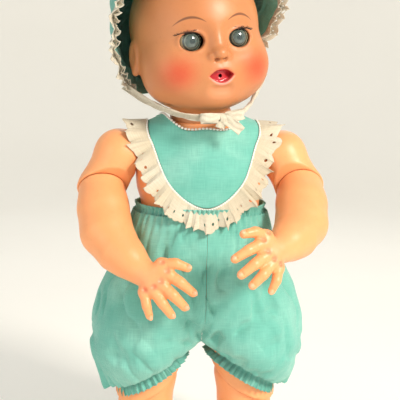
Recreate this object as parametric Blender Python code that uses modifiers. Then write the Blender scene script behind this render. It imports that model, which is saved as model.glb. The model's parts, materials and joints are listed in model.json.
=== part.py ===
"""Jointed vinyl baby doll in a bonnet and romper, built from separate pieces.

The doll stands on its two flat soles and faces -Y, with +Z up.  Sizes are in millimetres and
become metres in one place, the mm() helper.  Left and right are those of someone who faces it.
Each limb is modelled straight at the doll, and then turned to its rest angle by its own empty.
"""
import math

import bmesh
import bpy
from mathutils import Matrix, Quaternion, Vector

# Driving dimensions, in millimetres and degrees.
BODY_SHIFT_Y = 22.0          # moves the whole doll so that its bounding box is centred
GAP = 0.35                   # clearance between neighbouring pieces
WALL = 3.0                   # thickness of the vinyl shells

HEAD_TURN = 12.0             # rest turn of the head, towards +X
HEAD_LEAN = -5.5             # the head sits a little askew on its neck
HEAD_SHIFT_X = -3.0          # and a little off its neck's axis
LEAN_POINT = (0.0, 2.0, 388.0)
NECK_Y = 2.0
NECK_TOP_Z = 367.0           # top of the torso's neck ring
NECK_HOLE_RADIUS = 24.5
HEAD_CENTRE_Z = 462.0
CRANIUM_RADII = (64.0, 70.0, 68.0)
EYE = (24.0, -44.0, 450.0)
EYEBALL_RADIUS = 12.6
EYE_OPENING = (11.6, 9.6)    # half width and half height
PIN_RADIUS = 1.0

SHOULDER = (70.0, 0.0, 338.0)
ARM_FACE_X = 67.0            # the plane where arm and torso meet
RIM = (101.0, -5.0, 298.0)   # centre of the upper arm's open end
RIM_AXIS = (0.0, -0.77, -0.64)
ARM_RADIUS = 23.5
RIGHT_SHOULDER_REST = 14.0
RIGHT_ELBOW_REST = 12.0

HIP = (40.0, 0.0, 172.0)
HIP_BALL_RADIUS = 35.0
KNEE = (50.5, 0.0, 100.0)
KNEE_AXIS = (-0.37, 0.45, -0.81)
THIGH_RADIUS = 31.0
FOOT_X = 53.0
CUFF_TILT = 31.0             # the leg cuffs are lower on the outside

CUFF_Z = 108.5               # height of a cuff at the middle of the leg
WAIST_Z = (277.0, 288.0)
CLOTH = 2.0                  # thickness of the plain cloth solids


def mm(*values):
    """Millimetres to metres: one number, or a vector of three."""
    if len(values) == 1:
        return values[0] * 0.001
    return Vector(values) * 0.001


def mirrored(point, side):
    """A point given for the +X side, moved to the side asked for (+1 or -1)."""
    return (point[0] * side, point[1], point[2])


# ---------------------------------------------------------------------------- scene and helpers

for old in list(bpy.data.objects):
    bpy.data.objects.remove(old, do_unlink=True)

doll = bpy.data.collections.new("baby_doll")
bpy.context.scene.collection.children.link(doll)


def material(name, colour, roughness, metallic=0.0):
    made = bpy.data.materials.new(name)
    made.use_nodes = True
    shader = made.node_tree.nodes["Principled BSDF"]
    shader.inputs["Base Color"].default_value = (*colour, 1.0)
    shader.inputs["Roughness"].default_value = roughness
    shader.inputs["Metallic"].default_value = metallic
    return made


BODY_VINYL = material("body_vinyl", (0.80, 0.42, 0.26), 0.42)
HEAD_VINYL = material("head_vinyl", (0.74, 0.38, 0.21), 0.40)
COTTON = material("turquoise_cotton", (0.16, 0.56, 0.47), 0.90)
EYELET = material("cream_eyelet", (0.86, 0.80, 0.66), 0.92)
RIBBON = material("cream_ribbon", (0.82, 0.72, 0.54), 0.60)
EYE_WHITE = material("eye_shell", (0.78, 0.76, 0.68), 0.30)
IRIS = material("iris_lens", (0.22, 0.32, 0.34), 0.08)
LASH = material("lash_bristle", (0.03, 0.02, 0.015), 0.70)
CUP = material("cup_plastic", (0.62, 0.60, 0.54), 0.55)
STEEL = material("steel_wire", (0.55, 0.55, 0.55), 0.35, 1.0)
LEAD = material("lead", (0.22, 0.23, 0.25), 0.60, 1.0)
RUBBER = material("latex_rubber", (0.45, 0.24, 0.13), 0.75)
BUTTON = material("button_plastic", (0.84, 0.82, 0.76), 0.30)


def place(name, mesh):
    thing = bpy.data.objects.new(name, mesh)
    doll.objects.link(thing)
    return thing


def mesh_from(bm, name="shape"):
    mesh = bpy.data.meshes.new(name)
    bm.to_mesh(mesh)
    bm.free()
    return mesh


def settled(thing):
    """Replace an object's mesh with the result of its modifiers, welded into closed bodies."""
    depsgraph = bpy.context.evaluated_depsgraph_get()
    mesh = bpy.data.meshes.new_from_object(thing.evaluated_get(depsgraph))
    bm = bmesh.new()
    bm.from_mesh(mesh)
    bmesh.ops.remove_doubles(bm, verts=bm.verts, dist=mm(0.01))
    bm.to_mesh(mesh)
    bm.free()
    mesh.transform(thing.matrix_world)
    name = thing.name
    bpy.data.objects.remove(thing, do_unlink=True)
    return place(name, mesh)


def boolean(target, tool, operation="DIFFERENCE"):
    """Apply one exact Boolean, and remove the tool."""
    step = target.modifiers.new(operation.lower(), "BOOLEAN")
    step.operation = operation
    step.object = tool
    bpy.context.view_layer.update()
    result = settled(target)
    bpy.data.objects.remove(tool, do_unlink=True)
    return result


def cut(target, *tools):
    for tool in tools:
        target = boolean(target, tool)
    return target


def kept_inside(target, tool):
    return boolean(target, tool, "INTERSECT")


def finished(thing, name, look):
    """Give a piece its name and its material."""
    thing.name = name
    mesh = thing.data
    mesh.materials.clear()
    mesh.materials.append(look)
    mesh.shade_smooth()
    mesh.set_sharp_from_angle(angle=math.radians(40))
    return thing


def facing(axis):
    """The rotation that takes +Z onto an axis."""
    return Vector((0, 0, 1)).rotation_difference(Vector(axis).normalized()).to_matrix().to_4x4()


def add_ball(bm, centre, radii, axis=(0, 0, 1), segments=16):
    if isinstance(radii, (int, float)):
        radii = (radii, radii, radii)
    matrix = Matrix.Translation(mm(*centre)) @ facing(axis) @ Matrix.Diagonal((*mm(*radii), 1.0))
    bmesh.ops.create_uvsphere(
        bm, u_segments=segments, v_segments=segments // 2, radius=1.0, matrix=matrix
    )


def add_rod(bm, start, end, radius, end_radius=None, segments=16):
    start, end = mm(*start), mm(*end)
    matrix = Matrix.Translation((start + end) / 2) @ facing(end - start)
    bmesh.ops.create_cone(
        bm, cap_ends=True, segments=segments, radius1=mm(radius),
        radius2=mm(radius if end_radius is None else end_radius),
        depth=(end - start).length, matrix=matrix,
    )


def add_box(bm, low, high, matrix=Matrix.Identity(4)):
    low, high = mm(*low), mm(*high)
    middle = Matrix.Translation((low + high) / 2) @ Matrix.Diagonal((*(high - low), 1.0))
    bmesh.ops.create_cube(bm, size=1.0, matrix=matrix @ middle)


def ball(centre, radii, axis=(0, 0, 1), segments=16):
    bm = bmesh.new()
    add_ball(bm, centre, radii, axis, segments)
    return place("ball", mesh_from(bm))


def rod(start, end, radius, end_radius=None, segments=14):
    bm = bmesh.new()
    add_rod(bm, start, end, radius, end_radius, segments)
    return place("rod", mesh_from(bm))


def box(low, high, matrix=Matrix.Identity(4)):
    bm = bmesh.new()
    add_box(bm, low, high, matrix)
    return place("box", mesh_from(bm))


def prism(outline, low_y, high_y):
    """A flat outline in X and Z, carried from one depth to another."""
    bm = bmesh.new()
    near = [bm.verts.new(mm(x, low_y, z)) for x, z in outline]
    face = bm.faces.new(near)
    moved = bmesh.ops.extrude_face_region(bm, geom=[face])["geom"]
    far = [item for item in moved if isinstance(item, bmesh.types.BMVert)]
    bmesh.ops.translate(bm, vec=mm(0, high_y - low_y, 0), verts=far)
    bmesh.ops.recalc_face_normals(bm, faces=bm.faces)
    return place("prism", mesh_from(bm))


def thinned(thing, triangles):
    """Collapse a closed form to about so many triangles."""
    thing.data.calc_loop_triangles()
    thin = thing.modifiers.new("thin", "DECIMATE")
    thin.ratio = min(1.0, triangles / len(thing.data.loop_triangles))
    bpy.context.view_layer.update()
    return settled(thing)


def blended(shapes, voxel, rounds, triangles):
    """Fuse overlapping balls and rods into one soft closed form of about so many triangles.

    voxel is the size of the fusing grid, and rounds the number of smoothing passes.
    """
    bm = bmesh.new()
    for shape in shapes:
        kind, *values = shape
        {"ball": add_ball, "rod": add_rod}[kind](bm, *values)
    thing = place("blend", mesh_from(bm))
    fuse = thing.modifiers.new("fuse", "REMESH")
    fuse.mode = "VOXEL"
    fuse.voxel_size = mm(voxel)
    soften = thing.modifiers.new("soften", "SMOOTH")
    soften.factor = 0.5
    soften.iterations = rounds
    bpy.context.view_layer.update()
    return thinned(settled(thing), triangles)


def wire(points, radius, closed=False, radii=None, sides=1):
    """A round wire or tube through points, as a curve with filled caps made into a mesh."""
    curve = bpy.data.curves.new("wire", "CURVE")
    curve.dimensions = "3D"
    curve.bevel_depth = mm(radius)
    curve.bevel_resolution = sides
    curve.use_fill_caps = not closed
    spline = curve.splines.new("POLY")
    spline.points.add(len(points) - 1)
    for index, point in enumerate(points):
        spline.points[index].co = (*mm(*point), 1.0)
        spline.points[index].radius = radii[index] if radii else 1.0
    spline.use_cyclic_u = closed
    thing = bpy.data.objects.new("wire", curve)
    doll.objects.link(thing)
    bpy.context.view_layer.update()
    return settled(thing)


def arc(centre, radius, start, end, steps, plane="XZ"):
    """Points on a circular arc in the plane named."""
    points = []
    for step in range(steps + 1):
        angle = math.radians(start + (end - start) * step / steps)
        across, up = radius * math.cos(angle), radius * math.sin(angle)
        offset = (across, 0.0, up) if plane == "XZ" else (across, up, 0.0)
        points.append(tuple(c + o for c, o in zip(centre, offset)))
    return points


def along(point, axis, distance):
    unit = Vector(axis).normalized()
    return tuple(Vector(point) + unit * distance)


# ---------------------------------------------------------------------------- empties on the joints

def empty(name, point, parent=None):
    """An empty on a joint's axis, at a point given in the doll's frame."""
    pivot = bpy.data.objects.new(name, None)
    pivot["point"] = tuple(point)
    doll.objects.link(pivot)
    offset = Vector(parent["point"]) if parent else Vector((0, 0, 0))
    pivot.parent = parent
    pivot.location = (Vector(point) - offset) * 0.001
    return pivot


def attach(thing, pivot):
    """Hang a piece that is modelled in the doll's frame on a joint's empty."""
    thing.parent = pivot
    thing.location = Vector(pivot["point"]) * -0.001
    return thing


root = empty("doll_frame", (0, 0, 0))
root.location.y = mm(BODY_SHIFT_Y)
neck_pivot = empty("neck_pivot", (0, NECK_Y, NECK_TOP_Z), root)
head_frame = empty("head_frame", LEAN_POINT, neck_pivot)
head_frame.location.x += mm(HEAD_SHIFT_X)
sides = {"left": -1, "right": 1}
eye_pivots = {s: empty("eye_pivot_" + s, mirrored(EYE, k), head_frame) for s, k in sides.items()}
shoulders = {s: empty("shoulder_pivot_" + s, mirrored(SHOULDER, k), root) for s, k in sides.items()}
elbows = {s: empty("elbow_pivot_" + s, mirrored(RIM, k), shoulders[s]) for s, k in sides.items()}
hips = {s: empty("hip_pivot_" + s, mirrored(HIP, k), root) for s, k in sides.items()}
knees = {s: empty("knee_pivot_" + s, mirrored(KNEE, k), hips[s]) for s, k in sides.items()}


# ---------------------------------------------------------------------------- head

def head_form(inset, voxel, triangles):
    """The head's outer form, or its inner one when inset is not 0."""
    x, y, z = CRANIUM_RADII
    cranium = (x - inset, y - inset, z - inset)
    shapes = [
        ("ball", (0, 6, HEAD_CENTRE_Z), cranium),
        ("ball", (0, -12, 427), (59 - inset, 50 - inset, 38 - inset)),
        ("ball", (0, -18, 410), (53 - inset, 46 - inset, 33 - inset)),
        ("ball", (0, -48, 400), (22 - inset, 15 - inset, 15 - inset)),
        ("rod", (0, NECK_Y, 372), (0, NECK_Y, 410), 31 - inset),
    ]
    for side in (-1, 1):
        shapes.append(("ball", (31 * side, -27, 424), 29.5 - inset))
    if inset == 0:
        shapes.append(("ball", (0, -62, 416), (15, 9, 12)))
        shapes.append(("ball", (0, -66, 438), (6.5, 8, 6.5)))
        for side in (-1, 1):
            shapes.append(("ball", (63 * side, 4, 434), (4.5, 9, 16)))
    return blended(shapes, voxel, 4, triangles)


def make_head_shell():
    """Hollow head with eye and mouth openings and a grooved neck that snaps into the torso."""
    shell = head_form(0, 3.0, 1000)
    hollow = head_form(WALL + 0.8, 4.0, 240)
    shell = cut(shell, hollow)
    for side in (-1, 1):
        x, y, z = mirrored(EYE, side)
        opening = rod((x, y - 30, z), (x, y + 2, z), 1.0, segments=20)
        opening.scale = (EYE_OPENING[0], 1.0, EYE_OPENING[1])
        opening.data.transform(Matrix.Translation(mm(-x, 0, -z)))
        opening.location = mm(x, 0, z)
        bpy.context.view_layer.update()
        cup_room = ball((x, y, z), EYEBALL_RADIUS + 2.2, segments=20)
        cup_room = cut(cup_room, box((x - 20, y - 20, z - 20), (x + 20, y - 2.4, z + 20)))
        shell = cut(shell, opening, ball((x, y, z), EYEBALL_RADIUS + 0.6, segments=20), cup_room)
    lip_recess = ball((0, -72.5, 416), (10.5, 7.0, 6.5))
    nursing_hole = rod((0, -80, 416), (0, -50, 416), 1.6, segments=12)
    shell = cut(shell, lip_recess, nursing_hole)
    point = mm(*LEAN_POINT)
    lean = Matrix.Rotation(math.radians(HEAD_LEAN), 4, "Y")
    shift = Matrix.Translation(mm(HEAD_SHIFT_X, 0, 0))
    shell.data.transform(shift @ Matrix.Translation(point) @ lean @ Matrix.Translation(-point))
    shell = cut(shell, rod((0, NECK_Y, 330), (0, NECK_Y, 374.5), 80, segments=24))
    shell = boolean(shell, turned_neck(NECK_HOLE_RADIUS - GAP), "UNION")
    shell = cut(shell, rod((0, NECK_Y, 335), (0, NECK_Y, 382), 20.5, segments=24))
    return attach(finished(shell, "head_shell", HEAD_VINYL), neck_pivot)


def turned_neck(groove):
    """Turned neck: cylinder, groove for the torso's ring and retaining flange, as one profile."""
    top, ring = 375.5, NECK_TOP_Z
    profile = [
        (0, top), (31, top), (31, ring + GAP), (groove, ring + GAP),
        (groove, ring - WALL - GAP), (28, ring - WALL - GAP), (28, ring - 8), (0, ring - 8),
    ]
    bm = bmesh.new()
    verts = [bm.verts.new(mm(r, 0, z)) for r, z in profile]
    for first, second in zip(verts, verts[1:]):
        bm.edges.new((first, second))
    thing = place("neck", mesh_from(bm))
    turn = thing.modifiers.new("turn", "SCREW")
    turn.steps = turn.render_steps = 24
    turn.use_merge_vertices = True
    turn.merge_threshold = 0.00001
    thing.location = mm(0, NECK_Y, 0)
    bpy.context.view_layer.update()
    return settled(thing)


def make_eye(side_name):
    """One sleep eye: a ball that swings on a pin in its cup, with iris, lashes and lead weight."""
    side = sides[side_name]
    x, y, z = centre = mirrored(EYE, side)
    pivot = eye_pivots[side_name]
    front = y - EYEBALL_RADIUS + 2.0

    cup = ball(centre, EYEBALL_RADIUS + 1.7, segments=14)
    cup = cut(cup, ball(centre, EYEBALL_RADIUS + 0.6, segments=14))
    cup = cut(cup, box((x - 20, y - 20, z - 20), (x + 20, y - 1.8, z + 20)))
    cup = cut(cup, rod((x - 16, y, z), (x + 16, y, z), PIN_RADIUS + 0.1, segments=12))
    attach(finished(cup, "eye_cup_" + side_name, CUP), head_frame)

    pin = rod((x - 14, y, z), (x + 14, y, z), PIN_RADIUS, segments=12)
    attach(finished(pin, "eye_pin_" + side_name, STEEL), head_frame)

    eyeball = ball(centre, EYEBALL_RADIUS, segments=18)
    eyeball = cut(eyeball, ball(centre, EYEBALL_RADIUS - 1.8, segments=10))
    eyeball = cut(eyeball, box((x - 20, y + 7, z - 20), (x + 20, y + 20, z + 20)))
    eyeball = cut(eyeball, box((x - 20, y - 20, z - 20), (x + 20, front, z + 20)))
    eyeball = cut(eyeball, rod((x - 16, y, z), (x + 16, y, z), PIN_RADIUS + 0.3, segments=12))
    attach(finished(eyeball, "eyeball_" + side_name, EYE_WHITE), pivot)

    iris = ball(centre, EYEBALL_RADIUS + 0.1, segments=24)
    iris = cut(iris, box((x - 20, front - GAP, z - 20), (x + 20, y + 20, z + 20)))
    attach(finished(iris, "iris_" + side_name, IRIS), pivot)

    lift = Matrix.Translation(mm(*centre)) @ Matrix.Rotation(math.radians(-28), 4, "X")
    bm = bmesh.new()
    inner, outer, half = EYEBALL_RADIUS + 0.4, EYEBALL_RADIUS + 4.2, 27
    turns = [math.radians(-90 + half * (step / 4 - 1)) for step in range(9)]
    rim = [mm(inner * math.cos(a), inner * math.sin(a), -0.4) for a in turns]
    rim += [mm(outer * math.cos(a), outer * math.sin(a), -0.4) for a in reversed(turns)]
    face = bm.faces.new([bm.verts.new(lift @ point) for point in rim])
    grown = bmesh.ops.extrude_face_region(bm, geom=[face])["geom"]
    top = [item for item in grown if isinstance(item, bmesh.types.BMVert)]
    bmesh.ops.translate(bm, vec=lift.to_3x3() @ mm(0, 0, 0.8), verts=top)
    bmesh.ops.recalc_face_normals(bm, faces=bm.faces)
    lashes = place("lashes", mesh_from(bm))
    attach(finished(lashes, "lashes_" + side_name, LASH), pivot)

    weight = rod((x - 4.5, y + 1.5, z - 6.8), (x + 4.5, y + 1.5, z - 6.8), 2.4, segments=12)
    attach(finished(weight, "eye_weight_" + side_name, LEAD), pivot)


def make_mouth_tube():
    """Rubber tube that leads water from the nursing hole down through the neck."""
    path = [(0, -51, 416), (0, -47, 416), (0, -40, 414), (0, -32, 408), (0, -24, 398),
            (0, -14, 386), (0, -6, 376), (0, 0, 368), (0, NECK_Y, 358)]
    tube = wire(path, 3.0)
    return attach(finished(tube, "mouth_tube", RUBBER), neck_pivot)


def turned_bowl(profile, thickness):
    """A shell turned about the bonnet's own axis, which points forward and down."""
    bm = bmesh.new()
    verts = [bm.verts.new(mm(r, 0, h)) for r, h in profile]
    for first, second in zip(verts, verts[1:]):
        bm.edges.new((first, second))
    thing = place("bowl", mesh_from(bm))
    turn = thing.modifiers.new("turn", "SCREW")
    turn.steps = turn.render_steps = 24
    turn.use_merge_vertices = True
    turn.merge_threshold = 0.00001
    thick = thing.modifiers.new("thick", "SOLIDIFY")
    thick.thickness = mm(thickness)
    thick.offset = 1.0
    axis = Matrix.Rotation(math.radians(90 + 20), 4, "X")
    thing.matrix_world = Matrix.Translation(mm(0, 8, 466)) @ axis
    bpy.context.view_layer.update()
    return settled(thing)


def make_bonnet():
    """Cotton bonnet open at the face and at the nape, with a brim that flares off the head."""
    bonnet = turned_bowl([(0, -86), (30, -82), (56, -67), (72, -45), (78, -26),
                          (79, -10), (82, 2), (86, 14)], CLOTH)
    bonnet = cut(bonnet, box((-120, -120, 300), (120, 120, 398)))
    attach(finished(bonnet, "bonnet", COTTON), head_frame)

    lace = turned_bowl([(86.8, 16.4), (89, 24)], CLOTH)
    lace = cut(lace, box((-120, -120, 300), (120, 120, 398)))
    attach(finished(lace, "bonnet_lace", EYELET), head_frame)


def make_bonnet_tie():
    """Ribbon under the chin, from one lower corner of the bonnet to the other, and its bow."""
    half = [(73, 12, 404), (64, 4, 393), (51, -12, 381), (36, -30, 377.5), (18, -44, 376.5)]
    path = [(-x, y, z) for x, y, z in half] + [(x, y, z) for x, y, z in reversed(half)]
    tie = wire(path, 1.4)
    attach(finished(tie, "bonnet_tie", RIBBON), head_frame)

    shapes = [("ball", (2, -52, 374), 4.2), ("ball", (-9, -53, 374.5), (11, 3, 5)),
              ("ball", (15, -53, 374), (12, 3, 6)), ("rod", (3, -53, 372), (15, -56, 363), 2.6)]
    bow = blended(shapes, 1.4, 2, 200)
    attach(finished(bow, "bonnet_bow", RIBBON), head_frame)


# ---------------------------------------------------------------------------- torso

def torso_form(grow, voxel=3.0, triangles=700):
    """The torso's outer form, grown or shrunk by a distance."""
    shapes = [
        ("ball", (0, 2, 306), (66 + grow, 46 + grow, 47 + grow)),
        ("ball", (0, -5, 246), (70 + grow, 53 + grow, 58 + grow)),
        ("ball", (0, 6, 200), (66 + grow, 52 + grow, 50 + grow)),
        ("rod", (0, NECK_Y, 335), (0, NECK_Y, NECK_TOP_Z + grow), 33 + grow),
    ]
    for side in (-1, 1):
        shapes.append(("ball", (45 * side, 0, 326), 24 + grow))
        shapes.append(("rod", (28 * side, 2, 345), (55 * side, 1, 340), 24 + grow, 19 + grow))
    return blended(shapes, voxel, 4, triangles)


def thigh_sweep():
    """The room that both thighs need in the torso's base as the hips swing."""
    rooms = []
    for side in (-1, 1):
        centre = Vector(mirrored(HIP, side))
        shapes = [("ball", tuple(centre), HIP_BALL_RADIUS + 2.2)]
        for angle in (-20, -5, 10, 25, 40, 55):
            turn = math.radians(angle)
            end = centre + Vector((0, -math.sin(turn), -math.cos(turn))) * 90
            shapes.append(("rod", tuple(centre), tuple(end), HIP_BALL_RADIUS + 1.6))
        rooms.append(blended(shapes, 4.0, 1, 260))
    return rooms


def make_torso():
    """Hollow torso with a ringed neck hole, arm faces, leg openings and a crotch web."""
    torso = torso_form(0)
    hollow = torso_form(-WALL - 0.8, 4.0, 240)
    hollow = cut(hollow, box((-90, -90, 100), (90, 90, 212)))
    hollow = cut(hollow, rod((0, NECK_Y, NECK_TOP_Z - WALL), (0, NECK_Y, 400), 60))
    torso = cut(torso, hollow)
    torso = cut(torso, box((-120, -120, NECK_TOP_Z), (120, 120, 420)))
    torso = cut(torso, rod((0, NECK_Y, NECK_TOP_Z - 12), (0, NECK_Y, NECK_TOP_Z - WALL), 29))
    torso = cut(torso, rod((0, NECK_Y, 340), (0, NECK_Y, 380), NECK_HOLE_RADIUS, segments=24))
    for side in (-1, 1):
        low, high = sorted((side * (ARM_FACE_X - GAP), side * 120))
        torso = cut(torso, box((low, -80, 290), (high, 80, 400)))
        x, y, z = mirrored(SHOULDER, side)
        torso = cut(torso, rod((x - 20 * side, y, z), (x + 10 * side, y, z), 8.0))
    torso = cut(torso, *thigh_sweep())
    torso = cut(torso, rod((-20, 0, HIP[2]), (20, 0, HIP[2]), 6.5))
    torso = cut(torso, rod((0, 20, 140), (0, 20, 230), 5.0))
    return attach(finished(torso, "torso_shell", BODY_VINYL), root)


def make_inner_pieces():
    """Rubber bands that hold the limbs on, the water tube and its plug."""
    def band(name, reach, z):
        """A closed rubber loop from one limb's hook to the other's."""
        loop = arc((reach, 0, z), 4.0, -90, 90, 6, "XY") + arc((-reach, 0, z), 4.0, 90, 270, 6, "XY")
        piece = wire(loop, 1.5, closed=True)
        return attach(finished(piece, name, RUBBER), root)

    band("arm_elastic", 52.0, SHOULDER[2])
    band("leg_elastic", 22.0, HIP[2])
    path = [(0, NECK_Y, 352), (0, 5, 347), (0, 9.6, 341), (0, 10.4, 334), (0, 14, 290), (0, 18, 270),
            (0, 20, 250), (0, 20, 232), (0, 20, 200), (0, 20, 168)]
    tube = wire(path, 3.0)
    attach(finished(tube, "body_tube", RUBBER), root)


def make_drain_plug(low_z):
    """Plug that closes the water tube between the legs."""
    plug = rod((0, 20, low_z), (0, 20, low_z + 9), 4.2, segments=16)
    return attach(finished(plug, "drain_plug", CUP), root)


# ---------------------------------------------------------------------------- romper

BIB_HALF = [(55.5, 350), (55.8, 334), (48, 314), (36, 298), (20, 286), (0, 281)]
NECKLINE = [(-34, 364), (-25, 360), (-13, 357), (0, 356), (13, 357), (25, 360), (34, 364)]
RUFFLE_HALF = [(66, 352), (66, 330), (61, 306), (48, 286), (28, 270), (0, 264)]
SHOULDER_TOP = [(54, 364), (66, 366)]    # where bib and ruffle end over the shoulder


def cloth_layer(inner, outer, outline):
    """Cloth over the torso's front between two distances, cut to an outline seen from ahead."""
    layer = torso_form(outer)
    layer = cut(layer, torso_form(inner))
    return kept_inside(layer, prism(outline, -90, 2))


def make_bib():
    half = [SHOULDER_TOP[0]] + BIB_HALF
    outline = [(-x, z) for x, z in half[:-1]] + [(x, z) for x, z in reversed(half)]
    outline += list(reversed(NECKLINE))
    bib = cloth_layer(1.4, 3.2, outline)
    attach(finished(bib, "bib", COTTON), root)

    half = [SHOULDER_TOP[1]] + RUFFLE_HALF
    outer = [(-x, z) for x, z in half[:-1]] + [(x, z) for x, z in reversed(half)]
    half = [(x + 1.2, z) for x, z in [SHOULDER_TOP[0]] + BIB_HALF[:-1]]
    inner = half + [(0, BIB_HALF[-1][1] - 1.2)] + [(-x, z) for x, z in reversed(half)]
    ruffle = cloth_layer(4.6, 7.4, outer + inner)
    attach(finished(ruffle, "bib_ruffle", EYELET), root)


def make_waistband():
    """Elastic waist under the ruffle, with the straps' two buttons behind."""
    low, high = WAIST_Z
    band = cut(torso_form(3.8), torso_form(1.4))
    band = kept_inside(band, box((-120, -120, low), (120, 120, high)))
    band = cut(band, box((-37, -120, low - 1), (37, -10, high + 1)))
    attach(finished(band, "waistband", COTTON), root)


def make_bloomers():
    """Puffed bloomers in two halves, open at the waist and gathered at the tilted leg cuffs."""
    for side_name, side in sides.items():
        bag = cut(bloomer_form(0.0, 760), bloomer_form(CLOTH + 1.0, 480))
        bag = cut(bag, torso_form(1.6, 3.0, 500))
        low, high = sorted((side * GAP, side * -200))
        bag = cut(bag, box((low, -120, 0), (high, 120, 400)))
        bag = cut(bag, box((-150, -120, WAIST_Z[0] - GAP), (150, 120, 400)))
        bag = cut(bag, box((-48, -120, RUFFLE_HALF[-1][1] - 3), (48, -10, 400)))
        bag = cut(bag, cuff_slab(side, -80, 5.0))
        attach(finished(bag, "bloomer_" + side_name, COTTON), root)

        x = (KNEE[0] - 1.6) * side
        ring = rod((x, 0, 60), (x, 0, 150), 41.0, segments=20)
        ring = cut(ring, rod((x, 0, 50), (x, 0, 160), 36.6, segments=20))
        ring = cut(ring, cuff_slab(side, 4.6, 90), cuff_slab(side, -90, -5.5))
        attach(finished(ring, "leg_cuff_" + side_name, COTTON), hips[side_name])


def bloomer_form(inset, triangles):
    """Both puffed legs and the gathered waist as one form, shrunk by a distance."""
    shapes = [("ball", (0, -1, 192), (44 - inset, 60 - inset, 54 - inset))]
    for side in (-1, 1):
        shapes += [
            ("ball", (48 * side, 0, 182), (56 - inset, 59 - inset, 58 - inset)),
            ("ball", (54 * side, -2, 148), (56 - inset, 63 - inset, 54 - inset)),
            ("rod", (0, -3, 300), (12 * side, -3, 200), 62 - inset, 61 - inset),
            ("rod", (14 * side, -2, 300), (20 * side, 0, 215), 60 - inset, 60 - inset),
            ("rod", (52 * side, 0, 128), (54 * side, 0, 60), 47 - inset, 42 - inset),
        ]
    return blended(shapes, 3.5, 3, triangles)


def cuff_slab(side, low, high):
    """The space between two heights over the tilted plane of one leg's cuff."""
    middle = Matrix.Translation(mm(KNEE[0] * side, 0, CUFF_Z))
    tilt = Matrix.Rotation(math.radians(CUFF_TILT * side), 4, "Y")
    return box((-160, -160, low), (160, 160, high), middle @ tilt)


def make_straps():
    """Shoulder straps that run over the shoulders to buttons on the back of the waistband."""
    for side_name, side in sides.items():
        strap = cut(torso_form(3.2), torso_form(1.4))
        x = 44 * side
        outline = [(x - 6, 290), (x + 6, 290), (x + 6, 372), (x - 6, 372)]
        strap = kept_inside(strap, prism(outline, 3.0, 90))
        attach(finished(strap, "strap_" + side_name, COTTON), root)
        button = rod((x, 52.0, 283), (x, 54.5, 283), 5.0, segments=16)
        attach(finished(button, "button_" + side_name, BUTTON), root)


# ---------------------------------------------------------------------------- limbs

def make_arm(side_name):
    side = sides[side_name]
    rim, down = mirrored(RIM, side), RIM_AXIS
    up = tuple(-value for value in down)
    shoulder = mirrored(SHOULDER, side)

    shapes = [
        ("ball", (84 * side, 0, 333), 22.5),
        ("rod", (84 * side, 0, 333), rim, 22.5, ARM_RADIUS),
        ("ball", rim, ARM_RADIUS + 1),
        ("rod", (64 * side, 0, 335), (84 * side, 0, 333), 19, 21),
    ]
    upper = blended(shapes, 2.2, 3, 240)
    low, high = sorted((side * (ARM_FACE_X + GAP), side * 20))
    upper = cut(upper, box((low, -60, 260), (high, 60, 400)))
    upper = cut(upper, rod(rim, along(rim, down, 60), 60))
    upper = cut(upper, ball(rim, (22.3, 22.3, 10.1), up, 16))
    upper = cut(upper, rod(along(rim, up, 4), along(rim, up, 14), 7.4))
    upper = cut(upper, rod(along(rim, up, 12.4), along(rim, up, 16.5), 12.0, segments=16))
    upper = cut(upper, ball((91 * side, 0, 326), 14.0, segments=10))
    upper = cut(upper, rod((60 * side, 0, shoulder[2]), (90 * side, 0, shoulder[2]), 6.5))
    attach(finished(upper, "upper_arm_" + side_name, BODY_VINYL), shoulders[side_name])

    hook_at = (56 * side, 0, shoulder[2])
    ring = arc(hook_at, 4.2, 0, 300, 12) if side > 0 else arc(hook_at, 4.2, 180, 480, 12)
    stem = [(88 * side, 0, shoulder[2]), (76 * side, 0, shoulder[2]), (66 * side, 0, shoulder[2])]
    hook = wire(stem + ring, 1.1)
    attach(finished(hook, "arm_hook_" + side_name, STEEL), shoulders[side_name])

    stations = [
        (along(rim, down, 6), 22.0), ((100 * side, -20, 279), 24.0), ((97 * side, -35, 259), 24.5),
        ((86 * side, -51, 244), 20.5), ((76 * side, -61, 236), 16.5), ((67 * side, -69, 230), 13.5),
    ]
    shapes = []
    for (start, r1), (end, r2) in zip(stations, stations[1:]):
        shapes.append(("rod", start, end, r1, r2))
        shapes.append(("ball", end, r2))
    shapes += hand_shapes(side)
    lower = blended(shapes, 1.7, 3, 820)
    lower = cut(lower, rod(along(rim, down, 7), along(rim, up, 40), 60))
    top = rod(along(rim, down, 8.5), along(rim, down, -0.2), 21.8, segments=20)
    lower = boolean(lower, top, "UNION")
    lower = boolean(lower, ball(rim, (21.4, 21.4, 9.6), up, 18), "UNION")
    peg = rod(along(rim, up, 5), along(rim, up, 14), 7.0)
    lower = boolean(lower, peg, "UNION")
    flange = rod(along(rim, up, 12.8), along(rim, up, 15.5), 10.8, segments=16)
    lower = boolean(lower, flange, "UNION")
    attach(finished(lower, "lower_arm_" + side_name, BODY_VINYL), elbows[side_name])


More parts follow.
